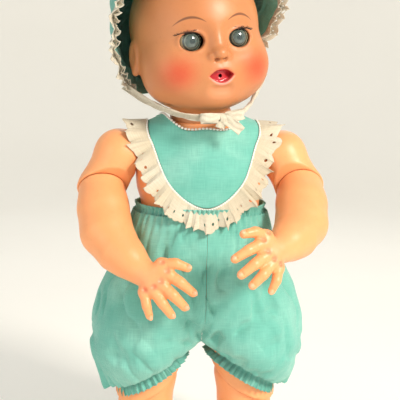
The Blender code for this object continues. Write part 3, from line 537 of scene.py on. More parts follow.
EYEBALL = 12.6
lash = mottled("lash_bristles", 900.0, (0.008, 0.005, 0.004), (0.035, 0.022, 0.016), Roughness=0.55)
for side, sign in (("left", -1), ("right", 1)):
    place = HEAD @ Matrix.Translation(Vector((EYE[0] * sign, EYE[1], EYE[2])) * MM)
    bm = bmesh.new()
    bmesh.ops.create_uvsphere(bm, u_segments=64, v_segments=40, radius=EYEBALL * MM,
                              matrix=place @ Matrix.Rotation(math.pi / 2, 4, "X"))
    lens = place @ Vector((0, -EYEBALL * MM, 0))
    for vert in bm.verts:                     # the lens stands a little proud of the ball
        share = max(0.0, 1 - (vert.co - lens).length / (8.0 * MM))
        vert.co += (vert.co - place.translation).normalized() * (0.55 * MM * min(1.0, share * 3))
    ball = smooth_piece("eyeball_glossy_" + side, bm)

    look = Look("eye_enamel_" + side, Roughness=0.06, Coat_Weight=1.0, Coat_Roughness=0.02)
    x, _, z = look.split(look.at(place))
    radius = (x * x + z * z) ** 0.5 / MM
    angle = x.maths("ARCTAN2", z)
    rays = look.noise(look.add("ShaderNodeCombineXYZ", values=[angle * 5.0, radius * 0.12, 0.0]), 3.0, 2.0)
    iris = look.mix(rays, (0.030, 0.050, 0.046), (0.10, 0.14, 0.128))
    iris = look.mix(look.ramp(radius, 3.6, 6.2) * 0.45, iris, (0.045, 0.062, 0.055))
    pupil = 1 - look.ramp(radius, 2.5, 3.0)
    iris = look.mix(pupil * 0.80, iris, (0.022, 0.036, 0.040))
    white = look.mix(look.noise(look.at(), 260.0), (0.30, 0.31, 0.20), (0.40, 0.40, 0.27))
    # a dark ring round the iris's edge is painted shade of the socket's rim
    ring = look.ramp(radius, 7.6, 8.1) * (1 - look.ramp(radius, 8.7, 9.3))
    pale_ring = look.ramp(radius, 6.4, 6.8) * (1 - look.ramp(radius, 7.2, 7.6))
    eye = look.mix(pale_ring * 0.6, iris, (0.22, 0.26, 0.19))
    eye = look.mix(look.ramp(radius, 8.5, 9.0), eye, white)
    eye = look.mix(ring * 0.9, eye, (0.035, 0.045, 0.04))
    eye = look.mix(look.ramp(z, 7.5 * MM, 7.9 * MM), eye, (0.50, 0.19, 0.072))
    look.feed("Base Color", eye)
    look.feed("Roughness", look.noise(look.at(), 300.0) * 0.04 + 0.04)
    dress(ball, look)
    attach(ball, "eye_" + side)
    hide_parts("eyeball_" + side, "iris_" + side)

    # bristles stand along the upper edge of the ball, and lean up as they leave it
    path, lift = [], math.radians(33)
    for step_number in range(41):
        turn = math.radians(-66 + 132 * step_number / 40)
        point = Vector((math.sin(turn) * 11.9, -math.cos(turn) * math.cos(lift) * 12.0,
                        math.sin(lift) * 12.0 * math.cos(turn * 0.8)))
        path.append(place @ (point.normalized() * (EYEBALL + 0.1) * MM))
    comb = pattern("bristle_pattern_" + side, bristle)
    lashes = strewn("lashes_bristly_" + side, path, lash, comb, 0.45 * MM, 1.0 * MM,
                     place @ Vector((0, -0.001, -0.0015)), seed=3, wobble=0.35)
    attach(lashes, "eye_" + side)
    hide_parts("lashes_" + side)

# ------------------------------------------------------------------ arms
# Each arm is two hollow vinyl castings: the upper arm ends in an open, rolled rim at the elbow, and
# the forearm with its chubby hand snaps into it.  Nails, knuckle dimples and creases are moulded.

def mirrored_copy(piece, name, place):
    """The same casting for the other side, turned to its own rest angle."""
    mesh = piece.data.copy()
    mesh.transform(place @ Matrix.Diagonal((-1, 1, 1, 1)))
    mesh.flip_normals()
    return shown(name, mesh)


def turned_about(point, axis, degrees):
    point = Vector(point)
    turn = Matrix.Rotation(math.radians(degrees), 4, Vector(axis).normalized())
    return Matrix.Translation(point) @ turn @ Matrix.Translation(-point)


RIM, DOWN = np.array([-101.0, -5.0, 298.0]), np.array([0.0, -0.77, -0.64])
# upper arm: a ball at the shoulder, a short tube and the rolled, open rim
low, step = (-130, -34, 270), 1.05
at = lattice(low, (-60, 34, 366), step)
form = lump(at, (-84, 0, 333), 22.8)
form = joined(form, limb(at, (-84, 0, 333), RIM, 22.6, 23.6), 6)
form = joined(form, limb(at, RIM, RIM + DOWN * 8, 23.9, 23.9), 4)
form = joined(form, limb(at, (-64, 0, 335), (-84, 0, 333), 19.5, 21), 8)
form = joined(form, hoop(at, RIM - DOWN * 1.7, DOWN, 22.3, 2.0), 2.0)
form = carved(form, plane(at, (-67.35, 0, 0), (-1, 0, 0)) + 0 * form, 2.5)
form = carved(form, -plane(at, RIM, DOWN), 0.7)
form = carved(form, lump(at, RIM, 22.1), 0.8)
upper = skin_mesh("upper_arm_skin_left", form, low, step)

# forearm: its bends from the rim to the wrist, each with a radius, then the palm and the thumb's root
low, step = (-130, -106, 178), 0.95
at = lattice(low, (-14, 22, 322), step)
stations = [(RIM + DOWN * 0.5, 23.5), ((-100, -20, 279), 24.2), ((-97, -35, 259), 24.6),
            ((-86, -51, 244), 20.6), ((-76, -61, 236), 16.4), ((-68, -68, 230), 13.2)]
form = None
for (start, r1), (end, r2) in zip(stations, stations[1:]):
    piece = limb(at, start, end, r1, r2)
    form = piece if form is None else joined(form, piece, 9)
form = joined(form, limb(at, (-68, -69, 229), (-57, -78, 219.5), 12.0, 10.2), 6)
form = joined(form, limb(at, (-60, -76, 228), (-47, -81.5, 230.5), 9.6, 7.8), 6)
BACK_OF_HAND = np.array([0.0, -0.82, 0.57])
hub = (-57, -78.5, 221)
fingers = [  # knuckle, middle joint, tip and thickness
    ((-47, -81, 237), (-34, -86, 239), (-22.5, -88, 235), 5.1),
    ((-42, -84, 229), (-29, -90, 221), (-17, -90, 211), 5.2),
    ((-48, -85, 219), (-36, -92, 209), (-25, -91, 197.5), 5.3),
    ((-55, -84, 213), (-46, -91, 201), (-37.5, -90, 189.5), 5.1),
    ((-63, -81, 210), (-61, -87, 198), (-58, -86, 187.5), 4.6),
]
knuckles, nails = [], []
for base, joint, tip, thick in fingers:
    base, joint, tip = (np.array(point, float) for point in (base, joint, tip))
    finger = joined(limb(at, base, joint, thick + 1.0, thick), limb(at, joint, tip, thick, thick - 0.9), 1.5)
    finger = joined(finger, limb(at, hub, base, 8.6, thick + 1.0), 3.0)
    for centre, axis in ((joint, tip - base), ((base + joint) / 2, joint - base)):
        finger = carved(finger, hoop(at, centre, axis, thick + 0.7, 0.35), 1.3)
    form = joined(form, finger, 2.6)
    knuckles.append(base + BACK_OF_HAND * (thick + 1.2))
    form = carved(form, lump(at, base + BACK_OF_HAND * (thick + 1.9), 1.7), 2.6)
    along = (tip - joint) / np.linalg.norm(tip - joint)
    across = np.cross(along, BACK_OF_HAND)
    across /= np.linalg.norm(across)
    face = np.array([across, along, np.cross(across, along)]).T
    nail = tip + along * 1.4 + np.cross(across, along) * (thick - 1.7)
    nails.append(nail)
    form = carved(form, lump(at, nail - along * 2.6, (2.9, 0.7, 1.2), face), 0.8)
    form = joined(form, lump(at, nail, (2.5, 2.9, 1.1), face), 0.4)
form = carved(form, plane(at, RIM + DOWN * 0.5, DOWN), 0.8)
form = joined(form, np.maximum(lump(at, RIM, 21.2), plane(at, RIM - DOWN * 9.0, -DOWN)), 0.5)
lower = skin_mesh("lower_arm_skin_left", form, low, step)

right_shoulder, right_rim = Vector(joints["shoulder_right"]["pos_m"]), Vector((0.101, 0.017, 0.298))
swing = turned_about(right_shoulder, (1, 0, 0), -14)
bend = swing @ turned_about(right_rim, Vector(-DOWN), 12)
arms = {"upper_arm_left": upper, "lower_arm_left": lower,
        "upper_arm_right": mirrored_copy(upper, "upper_arm_skin_right", swing),
        "lower_arm_right": mirrored_copy(lower, "lower_arm_skin_right", bend)}

hand_looks = {}
flip = Matrix.Diagonal((-1, 1, 1, 1))
for side, place in (("left", Matrix.Identity(4)), ("right", bend @ flip)):
    look, spot, colour = vinyl("hand_vinyl_" + side, *BODY_TONES)
    for knuckle, nail in zip(knuckles, nails):
        for point, size, tint, strength in ((knuckle, 5.5, (0.80, 0.20, 0.12), 0.55),
                                            (nail, 3.6, (0.86, 0.45, 0.33), 0.55)):
            where = place @ Vector((point + SHIFT) * MM) / MM
            mask = look.near(spot, where, (size, size, size), 0.2, 1.0)
            colour = look.mix(mask * strength, colour, tint)
    centre = place @ Vector((np.array([-56, -80, 222]) + SHIFT) * MM) / MM
    colour = look.mix(look.near(spot, centre, (24, 20, 20)) * 0.22, colour, (0.84, 0.28, 0.17))
    satin_finish(look, spot, colour, 0.32)
    hand_looks[side] = look
for node, piece in arms.items():
    dress(piece, hand_looks[node.split("_")[-1]] if node.startswith("lower") else body_vinyl)
    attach(piece, node)
    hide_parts(node)

# ------------------------------------------------------------------ legs
# Fat, creased baby legs in two castings each.  The thigh turns on a hidden band at the hip, and the
# lower leg turns in the slanting rim above the knee.  The soles are flat, with moulded toes.

KNEE, SHIN = np.array([-50.5, 0.0, 100.0]), np.array([0.37, 0.45, -0.81])
SHIN = SHIN / np.linalg.norm(SHIN)
hip = HIP * (-1, 1, 1)
# thigh: a ball at the hip, a thick tube with one crease, and the open rim above the knee
low, step = (-88, -42, 72), 1.3
at = lattice(low, (-2, 42, 210), step)
form = lump(at, hip, 35)
form = joined(form, limb(at, hip, hip + (KNEE - hip) * 1.5, 33, 31.2), 4)
form = joined(form, hoop(at, KNEE - SHIN * 1.8, SHIN, 30.2, 2.0), 2.0)
form = carved(form, hoop(at, KNEE - SHIN * 19, SHIN, 33.2, 0.8), 3.0)
form = carved(form, -plane(at, KNEE, SHIN), 0.8)
form = carved(form, lump(at, KNEE, 28.9), 0.8)
form = carved(form, lump(at, (-40, 0, 172), (12, 12, 12)), 1.0)
thigh = skin_mesh("upper_leg_skin_left", form, low, step)

# lower leg: calf, ankle and foot, five toes with their nails, creases and the dimples of the knee
low, step = (-88, -64, -3), 1.15
at = lattice(low, (-18, 40, 124), step)
form = limb(at, KNEE + SHIN * 0.5, (-53, 1, 66), 30.2, 26.6)
form = joined(form, limb(at, (-53, 1, 66), (-53, 4, 36), 26.5, 18.5), 8)
form = joined(form, lump(at, (-53, 5, 55), (24, 25, 24)), 8)
form = joined(form, limb(at, (-53, 4, 34), (-53, 6, 12), 17.5, 16), 6)
form = joined(form, limb(at, (-53, 8, 16), (-54, -34, 10), 15.5, 12.5), 8)
form = joined(form, lump(at, (-54, -34, 8), (16.5, 17, 10.5)), 6)
form = joined(form, lump(at, (-54, -10, 8), (15, 24, 13)), 5)
for x, y, size in [(-43.5, -50, 6.6), (-51.5, -51.5, 5.2), (-58, -50, 4.9), (-63.5, -46.5, 4.6),
                   (-68, -41.5, 4.3)]:
    toe = limb(at, (x * 0.94 - 3.2, y + 10, 8), (x, y, size + 0.6), size, size)
    form = joined(form, toe, 1.4)
    form = carved(form, lump(at, (x, y - 1.2, 2 * size + 1.4), (1.9, 2.4, 1.1)), 0.8)
form = carved(form, hoop(at, (-53, 4, 33), (0, 0.15, -1), 19.4, 0.8), 3.0)
form = carved(form, hoop(at, (-53, 2, 47), (0, 0.05, -1), 25.0, 0.5), 3.0)
for x in (-61, -53, -45):
    form = carved(form, lump(at, (x, -27.5, 88), (1.6, 1.6, 1.6)), 2.0)
form = carved(form, at[2] + 0 * form, 1.2)
form = carved(form, plane(at, KNEE + SHIN * 0.6, SHIN), 1.8)
form = joined(form, np.maximum(lump(at, KNEE, 27.8), plane(at, KNEE - SHIN * 8.2, -SHIN)), 0.5)
shin = skin_mesh("lower_leg_skin_left", form, low, step)
for node, piece in (("upper_leg", thigh), ("lower_leg", shin)):
    twin = mirrored_copy(piece, node + "_skin_right", Matrix.Identity(4))
    for side, thing in (("_left", piece), ("_right", twin)):
        dress(thing, body_vinyl)
        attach(thing, node + side)
        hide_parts(node + side)

# ------------------------------------------------------------------ romper: bib and its ruffle
# A single layer of plain-woven cotton lies on the chest.  White picot braid covers the neckline and
# the seam of a cream ruffle, which is gathered nearly two to one, scalloped and pierced with eyelets.

def cotton(name, base, faded, depth, pitch=0.00045):
    """Plain weave on the cloth's own coordinates, with slubs, worn pale patches and soft shading."""
    look = Look(name, Roughness=0.9, Sheen_Weight=0.25, Sheen_Roughness=0.5)
    cloth = look.add("ShaderNodeUVMap", {"uv_map": "cloth"})
    u, v, _ = look.split(cloth)
    spot = look.at()
    warp = (u * (math.tau / pitch)).maths("SINE")
    weft = (v * (math.tau / pitch)).maths("SINE")
    stretch = look.add("ShaderNodeCombineXYZ", values=[u * 60.0, v * 1400.0, 0.0])
    slub = look.noise(stretch, 1.0, 2.0)
    stretch = look.add("ShaderNodeCombineXYZ", values=[u * 1400.0, v * 60.0, 3.0])
    slub = slub * 0.5 + look.noise(stretch, 1.0, 2.0) * 0.5
    worn = look.ramp(look.noise(spot, 24.0, 4.0), 0.38, 0.72)
    colour = look.mix(worn * 0.75, base, faded)
    colour = look.mix(look.ramp(slub, 0.35, 0.68) * 0.42, colour, depth)
    look.feed("Base Color", colour)
    look.feed("Roughness", slub * 0.15 + 0.80)
    look.bump(warp * weft * 0.5 + slub * 2.0 + look.noise(spot, 160.0, 3.0) * 1.6, 0.0003, 0.55)
    return look


def sheet_mesh(name, rows, flat, thick=0.5, around=False, holes=()):
    """A grid of points in millimetres as cloth of some thickness, with flat coordinates as its UV."""
    rows = np.asarray(rows, float)
    many, deep = rows.shape[:2]
    mesh = bpy.data.meshes.new(name)
    points = (rows.reshape(-1, 3) + SHIFT) * MM
    turn = many if around else many - 1
    faces, flat = [], np.asarray(flat, float).reshape(-1, 2)
    for i in range(turn):
        for j in range(deep - 1):
            a, b = i * deep + j, ((i + 1) % many) * deep + j
            faces.append((a, b, b + 1, a + 1))
    if len(holes):
        faces, points = pierced(faces, points, flat, holes, deep)
    mesh.from_pydata([tuple(p) for p in points], [], faces)
    layer = mesh.uv_layers.new(name="cloth")
    for loop in mesh.loops:
        layer.data[loop.index].uv = flat[loop.vertex_index] * MM
    bm = bmesh.new()
    bm.from_mesh(mesh)
    bmesh.ops.delete(bm, geom=[v for v in bm.verts if not v.link_faces], context="VERTS")
    bm.to_mesh(mesh)
    bm.free()
    mesh.shade_smooth()
    return thickened(shown(name, mesh), thick)


def thickened(piece, thick, offset=0.0):
    wall = piece.modifiers.new("wall", "SOLIDIFY")
    wall.thickness, wall.offset = thick * MM, offset
    bpy.context.view_layer.update()
    piece.data = bpy.data.meshes.new_from_object(piece.evaluated_get(bpy.context.evaluated_depsgraph_get()))
    piece.modifiers.clear()
    return piece


FURTHEST = 0.6                                # millimetres that a point moves to a hole's edge


def pierced(faces, points, flat, holes, deep):
    """Leave out the cloth inside round eyelets, and draw its edge onto their circles."""
    points, flat = points.copy(), flat.copy()
    middle = flat[[face[0] for face in faces]] / 2 + flat[[face[2] for face in faces]] / 2
    gone = np.zeros(len(faces), bool)
    corners = np.array(faces)
    for x, y, radius in holes:
        near = np.hypot(middle[:, 0] - x, middle[:, 1] - y) < radius
        gone |= near
        for v in np.unique(corners[near]):
            if v - deep < 0 or v + deep >= len(points) or v % deep in (0, deep - 1):
                continue
            off = flat[v] - (x, y)
            move = off * (radius / max(0.1, np.hypot(*off)) - 1)
            du, dv = flat[v + deep, 0] - flat[v - deep, 0], flat[v + 1, 1] - flat[v - 1, 1]
            if not np.all(np.abs(move) < FURTHEST):
                continue
            points[v] = (points[v] + (points[v + deep] - points[v - deep]) * move[0] / du
                         + (points[v + 1] - points[v - 1]) * move[1] / dv)
            flat[v] += move
    return [face for face, out in zip(faces, gone) if not out], points


def curve_through(points, count, closed=False):
    """Evenly spaced points on a smooth curve through the points given."""
    points = np.array(points, float)
    if closed:
        points = np.vstack([points[-1:], points, points[:2]])
    else:
        points = np.vstack([2 * points[0] - points[1], points, 2 * points[-1] - points[-2]])
    fine = []
    for a, b, c, d in zip(points, points[1:], points[2:], points[3:]):
        for t in np.linspace(0, 1, 24, endpoint=False):
            fine.append(0.5 * (2 * b + (c - a) * t + (2 * a - 5 * b + 4 * c - d) * t**2
                               + (3 * b - a - 3 * c + d) * t**3))
    fine.append(points[-2])
    fine = np.array(fine)
    length = np.concatenate([[0], np.cumsum(np.linalg.norm(np.diff(fine, axis=0), axis=1))])
    where = np.linspace(0, length[-1], count + 1 if closed else count)
    where = where[:-1] if closed else where
    return np.stack([np.interp(where, length, fine[:, k]) for k in range(3)], 1), length[-1]


CHEST = np.array([0.0, 4.0, 312.0])


def on_body(points, gap):
    """Move points in or out along rays from the middle of the chest until they clear the torso."""
    points = np.asarray(points, float)
    ray = points - CHEST
    ray /= np.linalg.norm(ray, axis=-1, keepdims=True)
    reach = np.linspace(20, 85, 131)
    spots = CHEST + ray[..., None, :] * reach[:, None]
    field = torso_field([spots[..., k].astype(np.float32) for k in range(3)]) - gap
    first = np.argmax(field > 0, axis=-1)
    below = np.take_along_axis(field, first[..., None] - 1, -1)[..., 0]
    above = np.take_along_axis(field, first[..., None], -1)[..., 0]
    far = reach[first] - (reach[1] - reach[0]) * above / (above - below)
    return CHEST + ray * far[..., None]


def unit(vectors):
    return vectors / np.linalg.norm(vectors, axis=-1, keepdims=True)


def frill(name, base, out, lift, width, fullness, wave, swell, step=0.75, scallop=None, eyelets=None,
          closed=False, thick=0.4, seed=1, droop=None):
    """A gathered strip: its inner edge follows base, and its waves grow as swell says."""
    rng = np.random.default_rng(seed)
    length = np.sum(np.linalg.norm(np.diff(base, axis=0), axis=1))
    count = int(length * fullness / step)
    where = np.linspace(0, len(base) - 1, count)
    base, out, lift = (np.stack([np.interp(where, np.arange(len(base)), part[:, k])
                                 for k in range(3)], 1) for part in (base, out, lift))
    out, lift = unit(out), unit(lift)
    tangent = unit(np.gradient(base, axis=0))
    t = np.linspace(0, 1, count)
    waves = round(length / wave)
    drift = sum(rng.uniform(-1, 1) * np.sin(math.tau * (k * t + rng.uniform())) for k in range(3, 12))
    fade = np.sin(np.pi * t) ** 0.5 if closed else 1.0
    phase = math.tau * waves * t + drift * 0.9 * fade
    height = 1 + 0.35 * np.sin(phase * 0.37 + 1.0) * fade
    flat_u = np.arange(count) * step
    deep = int(width / step) + 1
    ends = 1.0 if closed else np.clip(np.minimum(t, 1 - t) / 0.06, 0.08, 1) ** 0.5
    rows, flats = np.zeros((count, deep, 3)), np.zeros((count, deep, 2))
    for j in range(deep):
        share = j / (deep - 1)
        edge = np.ones(count) * ends
        if scallop:
            size, depth = scallop
            edge = ends * (1 - depth / width * share * (1 - np.abs(np.sin(math.pi * flat_u / size)) ** 0.7))
        amount, sway, fall = swell(share)
        rows[:, j] = base + out * (width * share * edge)[:, None]
        rows[:, j] += lift * (ends * (amount * height * np.sin(phase) + fall))[:, None]
        rows[:, j] += tangent * (sway * np.sin(phase * 2.0 + 0.6))[:, None]
        if droop is not None:
            rows[:, j] += np.array(droop) * share**2
        flats[:, j, 0], flats[:, j, 1] = flat_u, width * share * edge
    holes = eyelets(count * step, width) if eyelets else ()
    piece = sheet_mesh(name, rows, flats, thick, False, holes)
    return piece, (count * step * MM, width * MM)


HALF_SEAM = [(0, -56, 281), (21, -55, 286.5), (37, -50, 299), (48.5, -44, 315), (56.5, -35, 334),
             (58, -22, 352), (54, -6, 364), (50, 12, 360)]
HALF_NECK = [(0, -34, 360), (14, -33, 361), (26, -28, 364.5), (34, -18, 369), (38, -4, 371), (38, 12, 364)]


def both_sides(half):
    return [(-x, y, z) for x, y, z in reversed(half[1:])] + half


def standing(points):
    """How far the bib stands off the body as it rises over the shoulders."""
    return 5.0 * np.clip((points[..., 2] - 345) / 15, 0, 1)


seam, _ = curve_through(both_sides(HALF_SEAM), 161)
neck, _ = curve_through(both_sides(HALF_NECK), 161)
share = np.linspace(0, 1, 41)[None, :, None]
rows = on_body(neck[:, None] * (1 - share) + seam[:, None] * share, 1.3)
rng = np.random.default_rng(5)
ripple = np.zeros(rows.shape[:2])
for _ in range(9):
    push = rng.uniform(-1, 1, 3) * (0.16, 0.05, 0.07)
    ripple += np.sin(rows @ push + rng.uniform(0, 6)) / 9
rows += unit(rows - CHEST) * (0.5 + 1.6 * ripple + standing(rows))[..., None]
cotton_look = cotton("turquoise_cotton_weave", (0.165, 0.53, 0.44), (0.31, 0.67, 0.57), (0.09, 0.36, 0.30))
bib = sheet_mesh("bib_cotton", rows, rows[..., [0, 2]] + 100.0, 0.6)
dress(bib, cotton_look)
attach(bib, "torso")
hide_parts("bib")

eyelet = cotton("cream_eyelet_cotton", (0.68, 0.60, 0.45), (0.77, 0.72, 0.60), (0.48, 0.38, 0.25))
seam, _ = curve_through(both_sides(HALF_SEAM + [(48, 24, 353), (47, 33, 345)]), 181)
seam = on_body(seam, 2.4)
seam += unit(seam - CHEST) * standing(seam)[:, None]
normal = unit(seam - CHEST)
out = unit(np.cross(np.gradient(seam, axis=0), normal))
if out[90, 2] > 0:
    out = -out
out[:, 1] = out[:, 1] * 0.25 - 0.16
high = np.clip((seam[:, 2] - 338) / 20, 0, 1)
out[:, 2] += 0.55 * high
out[:, 1] -= 0.50 * np.clip((318 - seam[:, 2]) / 30, 0, 1)


def eyelet_rows(length, width):
    holes = []
    for k in range(int(length / 12.0)):
        holes.append((6.0 + 12.0 * k, width * 0.66, 1.2))
    return holes


ruffle, flat = frill("bib_ruffle_eyelet", seam, out, normal, 19.0, 1.75, 13.0,
                     lambda s: (0.5 + 3.9 * s, 1.6 * s, 1.0 + 3.4 * s), scallop=(7.5, 1.6),
                     eyelets=eyelet_rows, droop=(0, 0, -1.5), seed=4)
dress(ruffle, eyelet)
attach(ruffle, "torso")
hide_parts("bib_ruffle")
0.92 * flat[0] * flat[1]


def picot(bm):
    bmesh.ops.create_icosphere(bm, subdivisions=1, radius=1.0, matrix=Matrix.Diagonal((1.25, 1, 0.7, 1)))


braid = mottled("picot_braid_white", 700.0, (0.78, 0.76, 0.70), (0.92, 0.91, 0.86), Roughness=0.85)
neckline = on_body(neck, 2.3)
neckline += unit(neckline - CHEST) * standing(neckline)[:, None]
for name, line, gap, size in (("picot_braid_seam", seam + normal * 0.9, 2.5, 1.45),
                              ("picot_braid_neck", neckline, 3.6, 1.45)):
    edge = (line + SHIFT) * MM
    trim = strewn(name, edge, braid, pattern(name + "_pattern", picot), gap * MM, size * MM,
                  (CHEST + SHIFT) * MM)
    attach(trim, "torso")

# ------------------------------------------------------------------ romper: bloomers and cuffs
# Two cotton halves are sewn down the middle, gathered onto elastic at the waist and at each leg.
# The cloth puffs out between them, with long folds down from the waist and creases at the crotch.

def ripples(at, pitch, seed, count=7):
    """Smooth, irregular swelling of about this pitch, from -1 to 1."""
    rng = np.random.default_rng(seed)
    total = 0
    for _ in range(count):
        push = rng.normal(size=3)
        push *= math.tau / pitch / np.linalg.norm(push) * rng.uniform(0.7, 1.4)
        total = total + np.sin(sum(np.float32(k) * a for k, a in zip(push, at)) + rng.uniform(0, 6.3))
    return total / count * 1.6


CUFF_TILT, CUFF_Z, LEG_X = math.radians(31), 108.5, 50.5
WAIST_Z = 277
low, step = (-122, -70, 58), 1.35
at = lattice(low, (122, 68, 282), step)
x, y, z = at
form = lump(at, (0, -1, 192), (44, 60, 54))
for side in (-1, 1):
    leg = lump(at, (47 * side, 0, 178), (56.5, 59, 58))
    leg = joined(leg, lump(at, (54 * side, -2, 146), (57, 63, 53)), 14)
    leg = joined(leg, limb(at, (54 * side, 0, 128), (56 * side, 0, 50), 50, 42), 16)
    form = joined(form, leg, 10 if side < 0 else 7)
top = joined(*(limb(at, (16 * side, -3, 300), (24 * side, -1, 200), 54, 60) for side in (-1, 1)), 12)
form = joined(form, top, 16)

theta = np.arctan2(x, -(y - 2)) + 0 * z
down = np.clip((WAIST_Z - z) / 137, 0, 1.3)
wander = ripples(at, 70, 11)
gather = np.exp(-(WAIST_Z - z) / 22)
folds = 1.5 * gather * np.sin(52 * theta + 2.2 * wander)
form = form + 5.0 * np.exp(-(WAIST_Z - z) / 20)
deep = np.maximum(np.sin(math.pi * np.clip(down, 0.02, 0.98)), 0.3 * (down > 0.5)) ** 0.8
folds = folds + 4.6 * deep * (np.abs(np.sin(7.5 * theta + 2.4 * wander)) ** 0.8 - 0.6)
folds = folds + 1.7 * deep * np.sin(19 * theta + 2.6 * ripples(at, 60, 12))
folds = folds + 3.6 * ripples(at, 44, 13) * np.clip(down, 0.2, 1)
crumple = ripples(at, 34, 15)
folds = folds + 3.4 * (np.abs(crumple) ** 0.8 - 0.45) * np.clip(down, 0.1, 1)
folds = folds + 0.8 * ripples(at, 17, 14)
for side in (-1, 1):
    # creases fan out from the crotch, on the front and on the back
    across, rise = side * x - 2, z - 142
    fan = np.arctan2(rise, np.abs(across) + 6)
    far = np.sqrt(across**2 + rise**2)
    mine = 1 / (1 + np.exp(-(side * x) / 5))
    strong = mine * np.exp(-((far - 26) / 30) ** 2)
    folds = folds + 5.0 * strong * (np.abs(np.sin(4.2 * fan + 0.8 * side + 0.7 * wander)) - 0.55)
    # gathers rise from the cuff
    height = (z - CUFF_Z) * math.cos(CUFF_TILT) + (side * x - LEG_X) * math.sin(CUFF_TILT)
    around = np.arctan2(y, (side * x - LEG_X) * math.cos(CUFF_TILT) - (z - CUFF_Z) * math.sin(CUFF_TILT))
    mine = 1 / (1 + np.exp(-(side * x - 8) / 3))
    near = np.exp(-np.clip(height, 0, 200) / 15) * mine
    folds = folds + 2.2 * near * np.sin(24 * around + 1.6 * wander)
    puffs = np.abs(np.sin(6.5 * around + wander)) - 0.5
    folds = folds + 1.6 * np.exp(-((height - 26) / 18) ** 2) * mine * puffs
    form = form + 6.5 * np.exp(-np.clip(height, 0, 200) / 9) * mine
form = form - np.where(folds > 0.4, 0.4 + (folds - 0.4) * 0.3, folds * 1.15)
form = form + 1.3 * np.exp(-(x / 1.8) ** 2) * (z > 128)      # the sewn middle seam pulls in
clear = torso_field([a.astype(np.float32) for a in at]) - 2.2
form = np.minimum(form, np.maximum(clear, np.abs(z - 220) - 62))
whole = skin_mesh("bloomers", form, low, step)


def trimmed(piece, name, planes):
    """A copy of a closed form, cut open by planes: each is a point and the side to lose."""
    bm = bmesh.new()
    bm.from_mesh(piece.data)
    for point, lost in planes:
        bmesh.ops.bisect_plane(bm, geom=[*bm.verts, *bm.edges, *bm.faces], plane_co=point,
                               plane_no=lost, clear_outer=True)
    mesh = bpy.data.meshes.new(name)
    bm.to_mesh(mesh)
    bm.free()
    return shown(name, mesh)


def flat_around(piece, centre_x):
    """Cloth coordinates for a tube: distance round a leg or the waist, and height."""
    layer = piece.data.uv_layers.new(name="cloth")
    co = np.array([v.co for v in piece.data.vertices])
    turn = np.arctan2(co[:, 0] - centre_x, -(co[:, 1] - SHIFT[1] * MM))
    round_leg = 0.062                         # metres of cloth to a radian
    uv = np.stack([turn * round_leg, co[:, 2]], 1)
    for face in piece.data.polygons:
        turns = [turn[v] for v in face.vertices]
        wrap = max(turns) - min(turns) > math.pi
        for loop in face.loop_indices:
            v = piece.data.loops[loop].vertex_index
            layer.data[loop].uv = uv[v] + ((round_leg * math.tau, 0) if wrap and turn[v] < 0 else (0, 0))


for side, sign in (("left", -1), ("right", 1)):
    tilt = Vector((sign * math.sin(CUFF_TILT), 0, math.cos(CUFF_TILT)))
    foot = Vector((LEG_X * sign, SHIFT[1], CUFF_Z)) * MM + tilt * 5.2 * MM
    half = trimmed(whole, "bloomer_cotton_" + side, [
        (Vector((0, 0, 276.6)) * MM, (0, 0, 1)), (Vector((0.15 * sign, 0, 0)) * MM, (-sign, 0, 0)),
        (foot, -tilt)])
    bm = bmesh.new()
    bm.from_mesh(half.data)
    parts = []                                # what is left of the torso's own form stays out
    todo = set(bm.verts)
    while todo:
        grown, edge = set(), [todo.pop()]
        while edge:
            vert = edge.pop()
            grown.add(vert)
            for link in vert.link_edges:
                other = link.other_vert(vert)
                if other in todo:
                    todo.discard(other)
                    edge.append(other)
        parts.append(grown)
    biggest = max(parts, key=len)
    bmesh.ops.delete(bm, geom=[v for v in bm.verts if v not in biggest], context="VERTS")
    bm.to_mesh(half.data)
    bm.free()
    flat_around(half, 0.045 * sign)
    half.data.shade_smooth()
    thickened(half, 0.6, -1.0)
    dress(half, cotton_look)
    "upper_leg_" + side
    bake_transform(half)
    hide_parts("bloomer_" + side)

    # leg cuff: an elastic casing with a little ruffled hem below it
    turn = np.linspace(0, math.tau, 160)
    across = np.array([math.cos(CUFF_TILT), 0, -math.sin(CUFF_TILT)]) * (sign, 1, 1)
    normal_up = np.array(tilt)
    spoke = np.cos(turn)[:, None] * across + np.sin(turn)[:, None] * np.array([0, 1.0, 0])
    middle = np.array([(LEG_X - 1.6) * sign, 0, CUFF_Z])
    ring = middle + spoke * 39.2 + normal_up * 7.0
    hem, flat = frill("leg_cuff_cotton_" + side, ring, spoke * 0.05 - normal_up, spoke, 14.5, 1.9, 6.2,
                      lambda s: (1.1 + 1.6 * max(0, s - 0.35) * 1.5, 0.3 + 0.8 * s,
                                 0.2 - 1.6 * math.sin(math.pi * min(1, s * 1.6)) + 2.4 * max(0, s - 0.5)),
                      closed=True, seed=8, thick=0.5)
    dress(hem, cotton_look)
    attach(hem, "upper_leg_" + side)
    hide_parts("leg_cuff_" + side)
    "upper_leg_skin_" + side
bpy.data.objects.remove(whole)

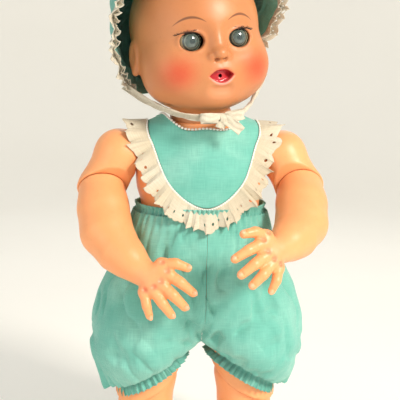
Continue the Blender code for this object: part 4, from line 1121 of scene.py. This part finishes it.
# waist: elastic casing with a ruffled heading that stands above it
turn = np.linspace(0, math.tau, 220)
around = np.stack([np.sin(turn), -np.cos(turn), 0 * turn], 1)
reach = np.linspace(30, 95, 131)
centre = np.array([0.0, 2.0, 277.0])
spots = centre + around[:, None] * reach[:, None]
field = torso_field([spots[..., k].astype(np.float32) for k in range(3)]) - 3.2
first = np.argmax(field > 0, axis=1)
ring = centre + around * reach[first][:, None]
ring = (np.roll(ring, 1, 0) + ring * 2 + np.roll(ring, -1, 0)) / 4
ring[0] = ring[-1] = (ring[1] + ring[-2]) / 2
upward = np.array([[0, 0, 1.0]]).repeat(len(ring), 0)
waist, flat = frill("waistband_cotton", ring - (0, 0, 2.5), upward, around, 10.0, 1.9, 5.0,
                    lambda s: (0.8 + 1.0 * abs(s - 0.45), 0.4 * s, 0.6 - 1.2 * math.sin(math.pi * s)),
                    closed=True, seed=9, thick=0.5)
dress(waist, cotton_look)
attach(waist, "torso")
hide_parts("waistband")

# ------------------------------------------------------------------ romper: straps and buttons
# Two flat cotton straps run over the shoulders and down the back to pearl buttons on the
# waistband, drawn without their four holes.  They are stitched along both edges.

stitch = mottled("thread_turquoise", 900.0, (0.20, 0.60, 0.46), (0.34, 0.74, 0.58), Roughness=0.8)


def seed_stitch(bm):
    bmesh.ops.create_icosphere(bm, subdivisions=1, radius=0.5, matrix=Matrix.Diagonal((2.2, 0.7, 0.5, 1)))


pearl = mottled("pearl_button", 220.0, (0.72, 0.70, 0.62), (0.86, 0.84, 0.78), Roughness=0.25,
                Coat_Weight=0.4)
STRAP_PATH = [(46, 2, 366), (47, 16, 360), (47, 32, 346), (45, 42, 326), (44, 44, 304), (44, 42, 284),
              (44, 40, 274)]
for side, sign in (("left", -1), ("right", 1)):
    line, _ = curve_through([(x * sign, y, z) for x, y, z in STRAP_PATH], 80)
    line = on_body(line, 1.6)
    line += unit(line - CHEST) * (6.0 * np.clip((292 - line[:, 2:]) / 10, 0, 1))
    normal = unit(line - CHEST)
    out = unit(np.cross(np.gradient(line, axis=0), normal))
    line += normal * (4.0 * np.clip((line[:, 2:] - 348) / 15, 0, 1))
    width = np.linspace(-6, 6, 17)
    rows = line[:, None] + out[:, None] * width[:, None] + normal[:, None] * (-0.012 * width[:, None] ** 2)
    flats = np.stack(np.meshgrid(np.arange(80) * 1.35, width + 6, indexing="ij"), -1)
    strap = sheet_mesh("strap_cotton_" + side, rows, flats, 1.0)
    dress(strap, cotton_look)
    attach(strap, "torso")
    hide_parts("strap_" + side)
    for number, edge in enumerate((-4.9, 4.9)):
        path = (line + out * edge + normal * 0.35 + SHIFT) * MM
        sewn = strewn(f"strap_stitches_{side}_{number}", path, stitch, pattern("stitch_pattern", seed_stitch),
                      1.7 * MM, 0.9 * MM, (CHEST + SHIFT) * MM)
        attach(sewn, "torso")

    middle = on_body([(44 * sign, 41, 280)], 9.6)[0]
    facing = Vector(middle - CHEST)
    facing.z = 0.0
    bm = bmesh.new()
    turns = [(0, 1.5), (3.2, 1.5), (3.7, 2.3), (4.6, 2.4), (5.0, 1.7), (4.8, 0.7), (0, 0.5)]
    rings = [[bm.verts.new((r * MM * math.cos(a), -h * MM, r * MM * math.sin(a)))
              for a in np.linspace(0, math.tau, 32, endpoint=False)] if r else [bm.verts.new((0, -h * MM, 0))]
             for r, h in turns]
    for first, second in zip(rings, rings[1:]):
        for k in range(32):
            corners = [first[k % len(first)], first[(k + 1) % len(first)], second[(k + 1) % len(second)],
                       second[k % len(second)]]
            bm.faces.new(list(dict.fromkeys(corners)))
    bmesh.ops.recalc_face_normals(bm, faces=bm.faces)
    bmesh.ops.transform(bm, verts=bm.verts, matrix=Matrix.Translation((middle + SHIFT) * MM)
                        @ facing.to_track_quat("-Y", "Z").to_matrix().to_4x4())
    button = smooth_piece("button_pearl_" + side, bm)
    dress(button, pearl)
    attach(button, "torso")
    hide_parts("button_" + side)

# ------------------------------------------------------------------ bonnet and its lace
# A cotton bonnet is gathered at the back of the head and stands round the face like a brim.  A strip of
# eyelet lace is gathered onto its front edge, and its lower corners hold the ribbon.

BONNET_TILT = math.radians(110)
CROWN = (0, 8, 466)                           # the middle that the bonnet stands round
CORNER_Z = 398.5                              # its front edge ends at this height on both sides


def round_face(radius, turn, along):
    """A point of the bonnet, by its distance from its axis, angle round it, and place along it."""
    up = radius * np.sin(turn)
    return np.stack(np.broadcast_arrays(
        radius * np.cos(turn), CROWN[1] + up * math.cos(BONNET_TILT) - along * math.sin(BONNET_TILT),
        CROWN[2] + up * math.sin(BONNET_TILT) + along * math.cos(BONNET_TILT)), -1)


bowl, bowl_length = curve_through([(0, 0, -86), (30, 0, -82), (56, 0, -67), (72, 0, -45), (78, 0, -26),
                                   (79.5, 0, -10), (82.5, 0, 2), (87.5, 0, 14)], 121)
last = len(bowl) - 1
many, deep = 420, 96
turn = np.linspace(-math.pi / 2, 1.5 * math.pi, many + 1)[:-1]
heights = round_face(bowl[:, 0][None], turn[:, None], bowl[:, 2][None])[..., 2]
below = heights < CORNER_Z
reach = np.where(below.any(1), np.argmax(below, axis=1), last).astype(float)
reach[reach < 60] = reach[reach >= 60].min()
for _ in range(6):
    reach = (np.roll(reach, 1) + 2 * reach + np.roll(reach, -1)) / 4
share = reach[:, None] * np.linspace(0.004, 1, deep)[None] / last
radius, along = (np.interp(share, np.linspace(0, 1, last + 1), bowl[:, k]) for k in (0, 2))
at = round_face(radius, turn[:, None], along)
outward = unit(at - CROWN)
folds = 1.7 * np.exp(-share / 0.30) * np.clip(share * 9, 0, 1) * np.sin(34 * turn[:, None])
long_folds = np.abs(np.sin(9 * turn[:, None] + 0.9 * ripples([at[..., k] for k in range(3)], 60, 21))) - 0.6
folds = folds + 1.6 * long_folds * np.clip(share * 2, 0, 1)
folds = folds + 1.5 * ripples([at[..., k] for k in range(3)], 36, 22)
folds = folds - 1.4 * np.exp(-((share - 0.84) / 0.02) ** 2)       # a stitched casing behind the brim
at = at + outward * folds[..., None]
# the lower corner on the right of the face is drawn in by its ribbon
slack = np.clip((478 - at[..., 2]) / 40, 0, 1) * np.clip((at[..., 0] - 40) / 30, 0, 1)
slack = slack * np.clip(share * 2 - 1, 0, 1)
at = at + slack[..., None] * (-15, 9, 0)
at[:, 0] = at[:, 0].mean(0)
flats = np.stack(np.broadcast_arrays(turn[:, None] * 80, share * bowl_length), -1)
bonnet = sheet_mesh("bonnet_cotton", at, flats, 0.7, around=True)
bonnet.data.transform(HEAD @ SHIFT_BACK)
bonnet_look = cotton("turquoise_bonnet_cotton", (0.14, 0.46, 0.38), (0.26, 0.58, 0.50), (0.07, 0.30, 0.25))
dress(bonnet, bonnet_look)
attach(bonnet, "head")
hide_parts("bonnet")

# lace round the face, gathered onto the brim's edge
front = np.flatnonzero(reach > last - 2)
first = front[0]
rim = at[first:front[-1] + 1, -1]
spread = turn[first:front[-1] + 1]
radial = np.stack([np.cos(spread), np.sin(spread) * math.cos(BONNET_TILT),
                   np.sin(spread) * math.sin(BONNET_TILT)], 1)
ahead = np.array([0, -math.sin(BONNET_TILT), math.cos(BONNET_TILT)])
inner = np.clip(np.cos(spread), 0, 1)[:, None]


def lace_holes(length, width):
    holes = []
    for k in range(int(length / 4.2)):
        holes.append((2.1 + 4.2 * k, width * (0.34 if k % 2 else 0.52), 0.95))
        if k % 3 == 0:
            holes.append((2.1 + 4.2 * k, width * 0.78, 1.35))
    return holes


eyelet_lace = cotton("bonnet_eyelet_lace", (0.68, 0.63, 0.51), (0.78, 0.75, 0.65), (0.48, 0.41, 0.29), 0.0008)
for number, (lean, wide, seed) in enumerate(((0.35, 13.5, 6), (-0.28, 10.0, 7))):
    forward = ahead + radial * lean + radial * inner * 0.1
    lace, flat = frill(f"bonnet_lace_{number}", rim, forward, radial, wide, 1.7, 11.0,
                       lambda s: (0.3 + 2.3 * s, 1.2 * s, 0.4 * s), scallop=(7.0, 1.6),
                       eyelets=lace_holes, seed=seed)
    lace.data.transform(HEAD @ SHIFT_BACK)
    dress(lace, eyelet_lace)
    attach(lace, "head")
    0.84 * flat[0] * flat[1]
    if number == 0:
        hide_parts("bonnet_lace")

# ------------------------------------------------------------------ bonnet ribbon and bow
# A narrow cream ribbon runs from one corner of the bonnet under the chin to the other, and is tied
# off the middle in a small flat bow with one long tail.

satin = cotton("cream_ribbon_weave", (0.68, 0.62, 0.50), (0.78, 0.74, 0.63), (0.50, 0.43, 0.31), 0.0006)


def ribbon(name, line, across, width, look, thick=0.45, cupped=0.6):
    """A strip of ribbon along a line; across says which way its width runs at each point."""
    tangent = unit(np.gradient(line, axis=0))
    across = unit(across - tangent * np.sum(across * tangent, 1, keepdims=True))
    normal = np.cross(tangent, across)
    offset = np.linspace(-0.5, 0.5, 13)
    travel = np.concatenate([[0], np.cumsum(np.linalg.norm(np.diff(line, axis=0), axis=1))])
    crease = 0.45 * np.sin(offset[None] * 11 + 0.35 * np.sin(travel / 3.1)[:, None] * 4)
    bend = width / cupped
    side = np.sin(offset * cupped) * bend
    rise = (1 - np.cos(offset * cupped)) * bend
    rows = (line[:, None] + across[:, None] * side[None, :, None]
            + normal[:, None] * (crease + rise[None])[..., None])
    flats = np.stack(np.broadcast_arrays(travel[:, None], (offset * width)[None] + 10), -1)
    strip = sheet_mesh(name, rows, flats, thick)
    strip.data.transform(HEAD @ SHIFT_BACK)
    dress(strip, look)
    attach(strip, "head")
    return strip, float(travel[-1])


# the tie twists a little on its way from corner to corner
half = [(75, 10, 409), (63, -2, 398), (50, -19, 389.5), (36, -37, 382.5), (20, -48, 378)]
line, _ = curve_through([(-x, y, z) for x, y, z in half] + [(2, -51, 375.5)] + half[::-1], 150)
t = np.linspace(-1, 1, 150)
across = np.stack([0.25 * np.sin(5 * t), -0.5 + 0.4 * np.cos(7 * t), 0.9 + 0 * t], 1)
tie, long = ribbon("bonnet_tie_ribbon", line, across, 10.0, satin, cupped=3.0)
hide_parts("bonnet_tie")
long * MM

# the bow: a short end, both loops and the long tail are one run of ribbon
loops = [(-1, -55, 365), (1, -56, 370), (2, -55.5, 374), (-6, -58, 375.5), (-16, -57.5, 376.5),
         (-20, -53, 376), (-15, -49.5, 375), (-6, -51, 374.5), (2, -54, 374.5), (10, -58, 375),
         (20, -57.5, 376), (25, -53, 376.5), (20, -49.5, 376), (10, -51, 375), (4, -55.5, 374),
         (9, -58, 370), (14, -60, 365.5), (19, -60, 360.5)]
line, _ = curve_through(loops, 240)
t = np.linspace(0, 1, 240)
tail = np.clip((t - 0.80) / 0.1, 0, 1)[:, None]
start = np.clip((0.14 - t) / 0.08, 0, 1)[:, None]
across = np.array([0, -0.15, 1.0]) * (1 - tail) * (1 - start) + np.array([0.75, -0.2, 0.65]) * tail
across = across + np.array([1.0, -0.1, 0.1]) * start
bow, long = ribbon("bonnet_bow_ribbon", line, across, 10.0, satin, cupped=0.8)
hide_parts("bonnet_bow")
long * MM

# the knot is a short, tight band round the middle of the bow
turn = np.linspace(0, math.tau, 25)[:-1]
spread = np.linspace(-1, 1, 9)
rows = np.stack(np.broadcast_arrays(
    2.5 + spread[None] * 3.4 + 0 * turn[:, None],
    -54.5 - np.cos(turn)[:, None] * (3.6 - 0.9 * spread[None] ** 2),
    374.6 + np.sin(turn)[:, None] * (4.6 - 1.0 * spread[None] ** 2)), -1)
rows[..., 1] += 0.35 * np.sin(spread * 9)[None]
flats = np.stack(np.broadcast_arrays(turn[:, None] * 4, spread[None] * 3.4), -1)
knot = sheet_mesh("bonnet_bow_knot", rows, flats, 0.6, around=True)
knot.data.transform(HEAD @ SHIFT_BACK)
dress(knot, satin)
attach(knot, "head")

# ------------------------------------------------------------------ inside
# Rubber tubes and elastic hold the doll together and carry its drink.  Wire hooks, eye cups, pins and
# lead weights are seen only when it is taken apart.

rubber = mottled("latex_rubber", 180.0, (0.52, 0.36, 0.20), (0.66, 0.48, 0.30), Roughness=0.55)
rubber.bump(rubber.noise(rubber.at(), 600.0, 2.0), 0.0002, 0.3)
elastic = Look("braided_elastic", Roughness=0.85)
x, _, z = elastic.split(elastic.at())
plait = ((x + z) * (math.tau / 0.0016)).maths("SINE") * ((x - z) * (math.tau / 0.0016)).maths("SINE")
elastic.feed("Base Color", elastic.mix(plait * 0.5 + 0.5, (0.55, 0.52, 0.46), (0.80, 0.78, 0.71)))
elastic.bump(plait, 0.0003, 0.5)
wire_look = mottled("zinc_wire", 90.0, (0.38, 0.38, 0.39), (0.60, 0.60, 0.61), 4.0, Metallic=1.0)
wire_look.feed("Roughness", wire_look.noise(wire_look.at(), 240.0, 2.0) * 0.3 + 0.28)
cup = mottled("eye_cup_plastic", 70.0, (0.030, 0.018, 0.013), (0.055, 0.036, 0.027), Roughness=0.45)
lead = mottled("lead_weight", 120.0, (0.14, 0.14, 0.15), (0.24, 0.24, 0.25), 4.0, Metallic=0.9,
               Roughness=0.62)
for look, nodes in (
        (elastic, ["arm_elastic", "leg_elastic"]),
        (rubber, ["body_tube", "mouth_tube", "drain_plug"]),
        (wire_look, ["eye_pin_left", "eye_pin_right", "arm_hook_left", "arm_hook_right", "leg_hook_left",
                     "leg_hook_right"]),
        (cup, ["eye_cup_left", "eye_cup_right"]),
        (lead, ["eye_weight_left", "eye_weight_right"])):
    for node in nodes:
        dress(bpy.data.objects[node], look)

# ------------------------------------------------------------------ stage
# A pale paper backdrop curves up all round like a wide bowl.  A warm key light stands to one side in
# front, a weak cool light fills from the other, and a third lights the back.

world = bpy.data.worlds.new("studio")
bpy.context.scene.world = world
world.use_nodes = True
sky = world.node_tree.nodes["Background"].inputs
sky["Color"].default_value = (0.93, 0.95, 0.97, 1)
sky["Strength"].default_value = 0.48
bend = np.linspace(0, math.pi / 2, 14)
outline = [(0.0002, 0.0), (0.8, 0.0), *[(1.6 + math.sin(t), 1 - math.cos(t)) for t in bend], (2.6, 3.0)]
many, deep = 64, len(outline)
corners = [(r * math.cos(turn), r * math.sin(turn), z)
           for turn in np.linspace(0, math.tau, many, endpoint=False) for r, z in outline]
faces = []
for i in range(many):
    near, far = i * deep, (i + 1) % many * deep
    faces += [(near + j, far + j, far + j + 1, near + j + 1) for j in range(deep - 1)]
mesh = bpy.data.meshes.new("backdrop")
mesh.from_pydata(corners, [], faces)
mesh.flip_normals()
mesh.shade_smooth()
backdrop = shown("backdrop", mesh)
pale = Look("pale_paper", Roughness=0.9, Emission_Strength=0.14)
paper = pale.mix(pale.noise(pale.at(), 3.0), (0.84, 0.82, 0.77), (0.88, 0.865, 0.82))
pale.feed("Base Color", paper)
pale.feed("Emission Color", paper)
dress(backdrop, pale)

for name, where, aim, size, power, tint in [
    ("key", (0.85, -1.05, 1.15), (0, 0, 0.30), 0.35, 27.0, (1.0, 0.94, 0.84)),
    ("fill", (-1.1, -0.9, 0.6), (0, 0, 0.28), 1.0, 3.0, (0.92, 0.96, 1.0)),
    ("back", (0.3, 1.1, 1.1), (0, 0, 0.35), 0.8, 3.0, (1.0, 1.0, 1.0)),
]:
    lamp = bpy.data.lights.new(name, "AREA")
    lamp.size, lamp.energy, lamp.color = size, power, tint
    light = shown(name, lamp)
    light.location = where
    light.rotation_euler = (Vector(aim) - Vector(where)).to_track_quat("-Z", "Y").to_euler()

camera = shown("camera", bpy.data.cameras.new("camera"))
bpy.context.scene.camera = camera
azimuth, elevation, roll = (math.radians(degrees) for degrees in (-8, 10, 1.5))
distance, frame_width = 1.05, 0.412           # metres from the target, and across it
target = Vector((0, 0.022, 0.285))
out = Vector((math.sin(azimuth) * math.cos(elevation), -math.cos(azimuth) * math.cos(elevation),
              math.sin(elevation)))
right = (-out).cross(Vector((0, 0, 1))).normalized()
up = right.cross(-out)
tilted = right * math.cos(roll) + up * math.sin(roll), up * math.cos(roll) - right * math.sin(roll)
turn = Matrix((tilted[0], tilted[1], out)).transposed().to_4x4()
camera.matrix_world = Matrix.Translation(target + out * distance) @ turn
camera.data.lens = camera.data.sensor_width * distance / frame_width
camera.data.clip_start = 0.05
bpy.context.scene.view_settings.view_transform = "Standard"
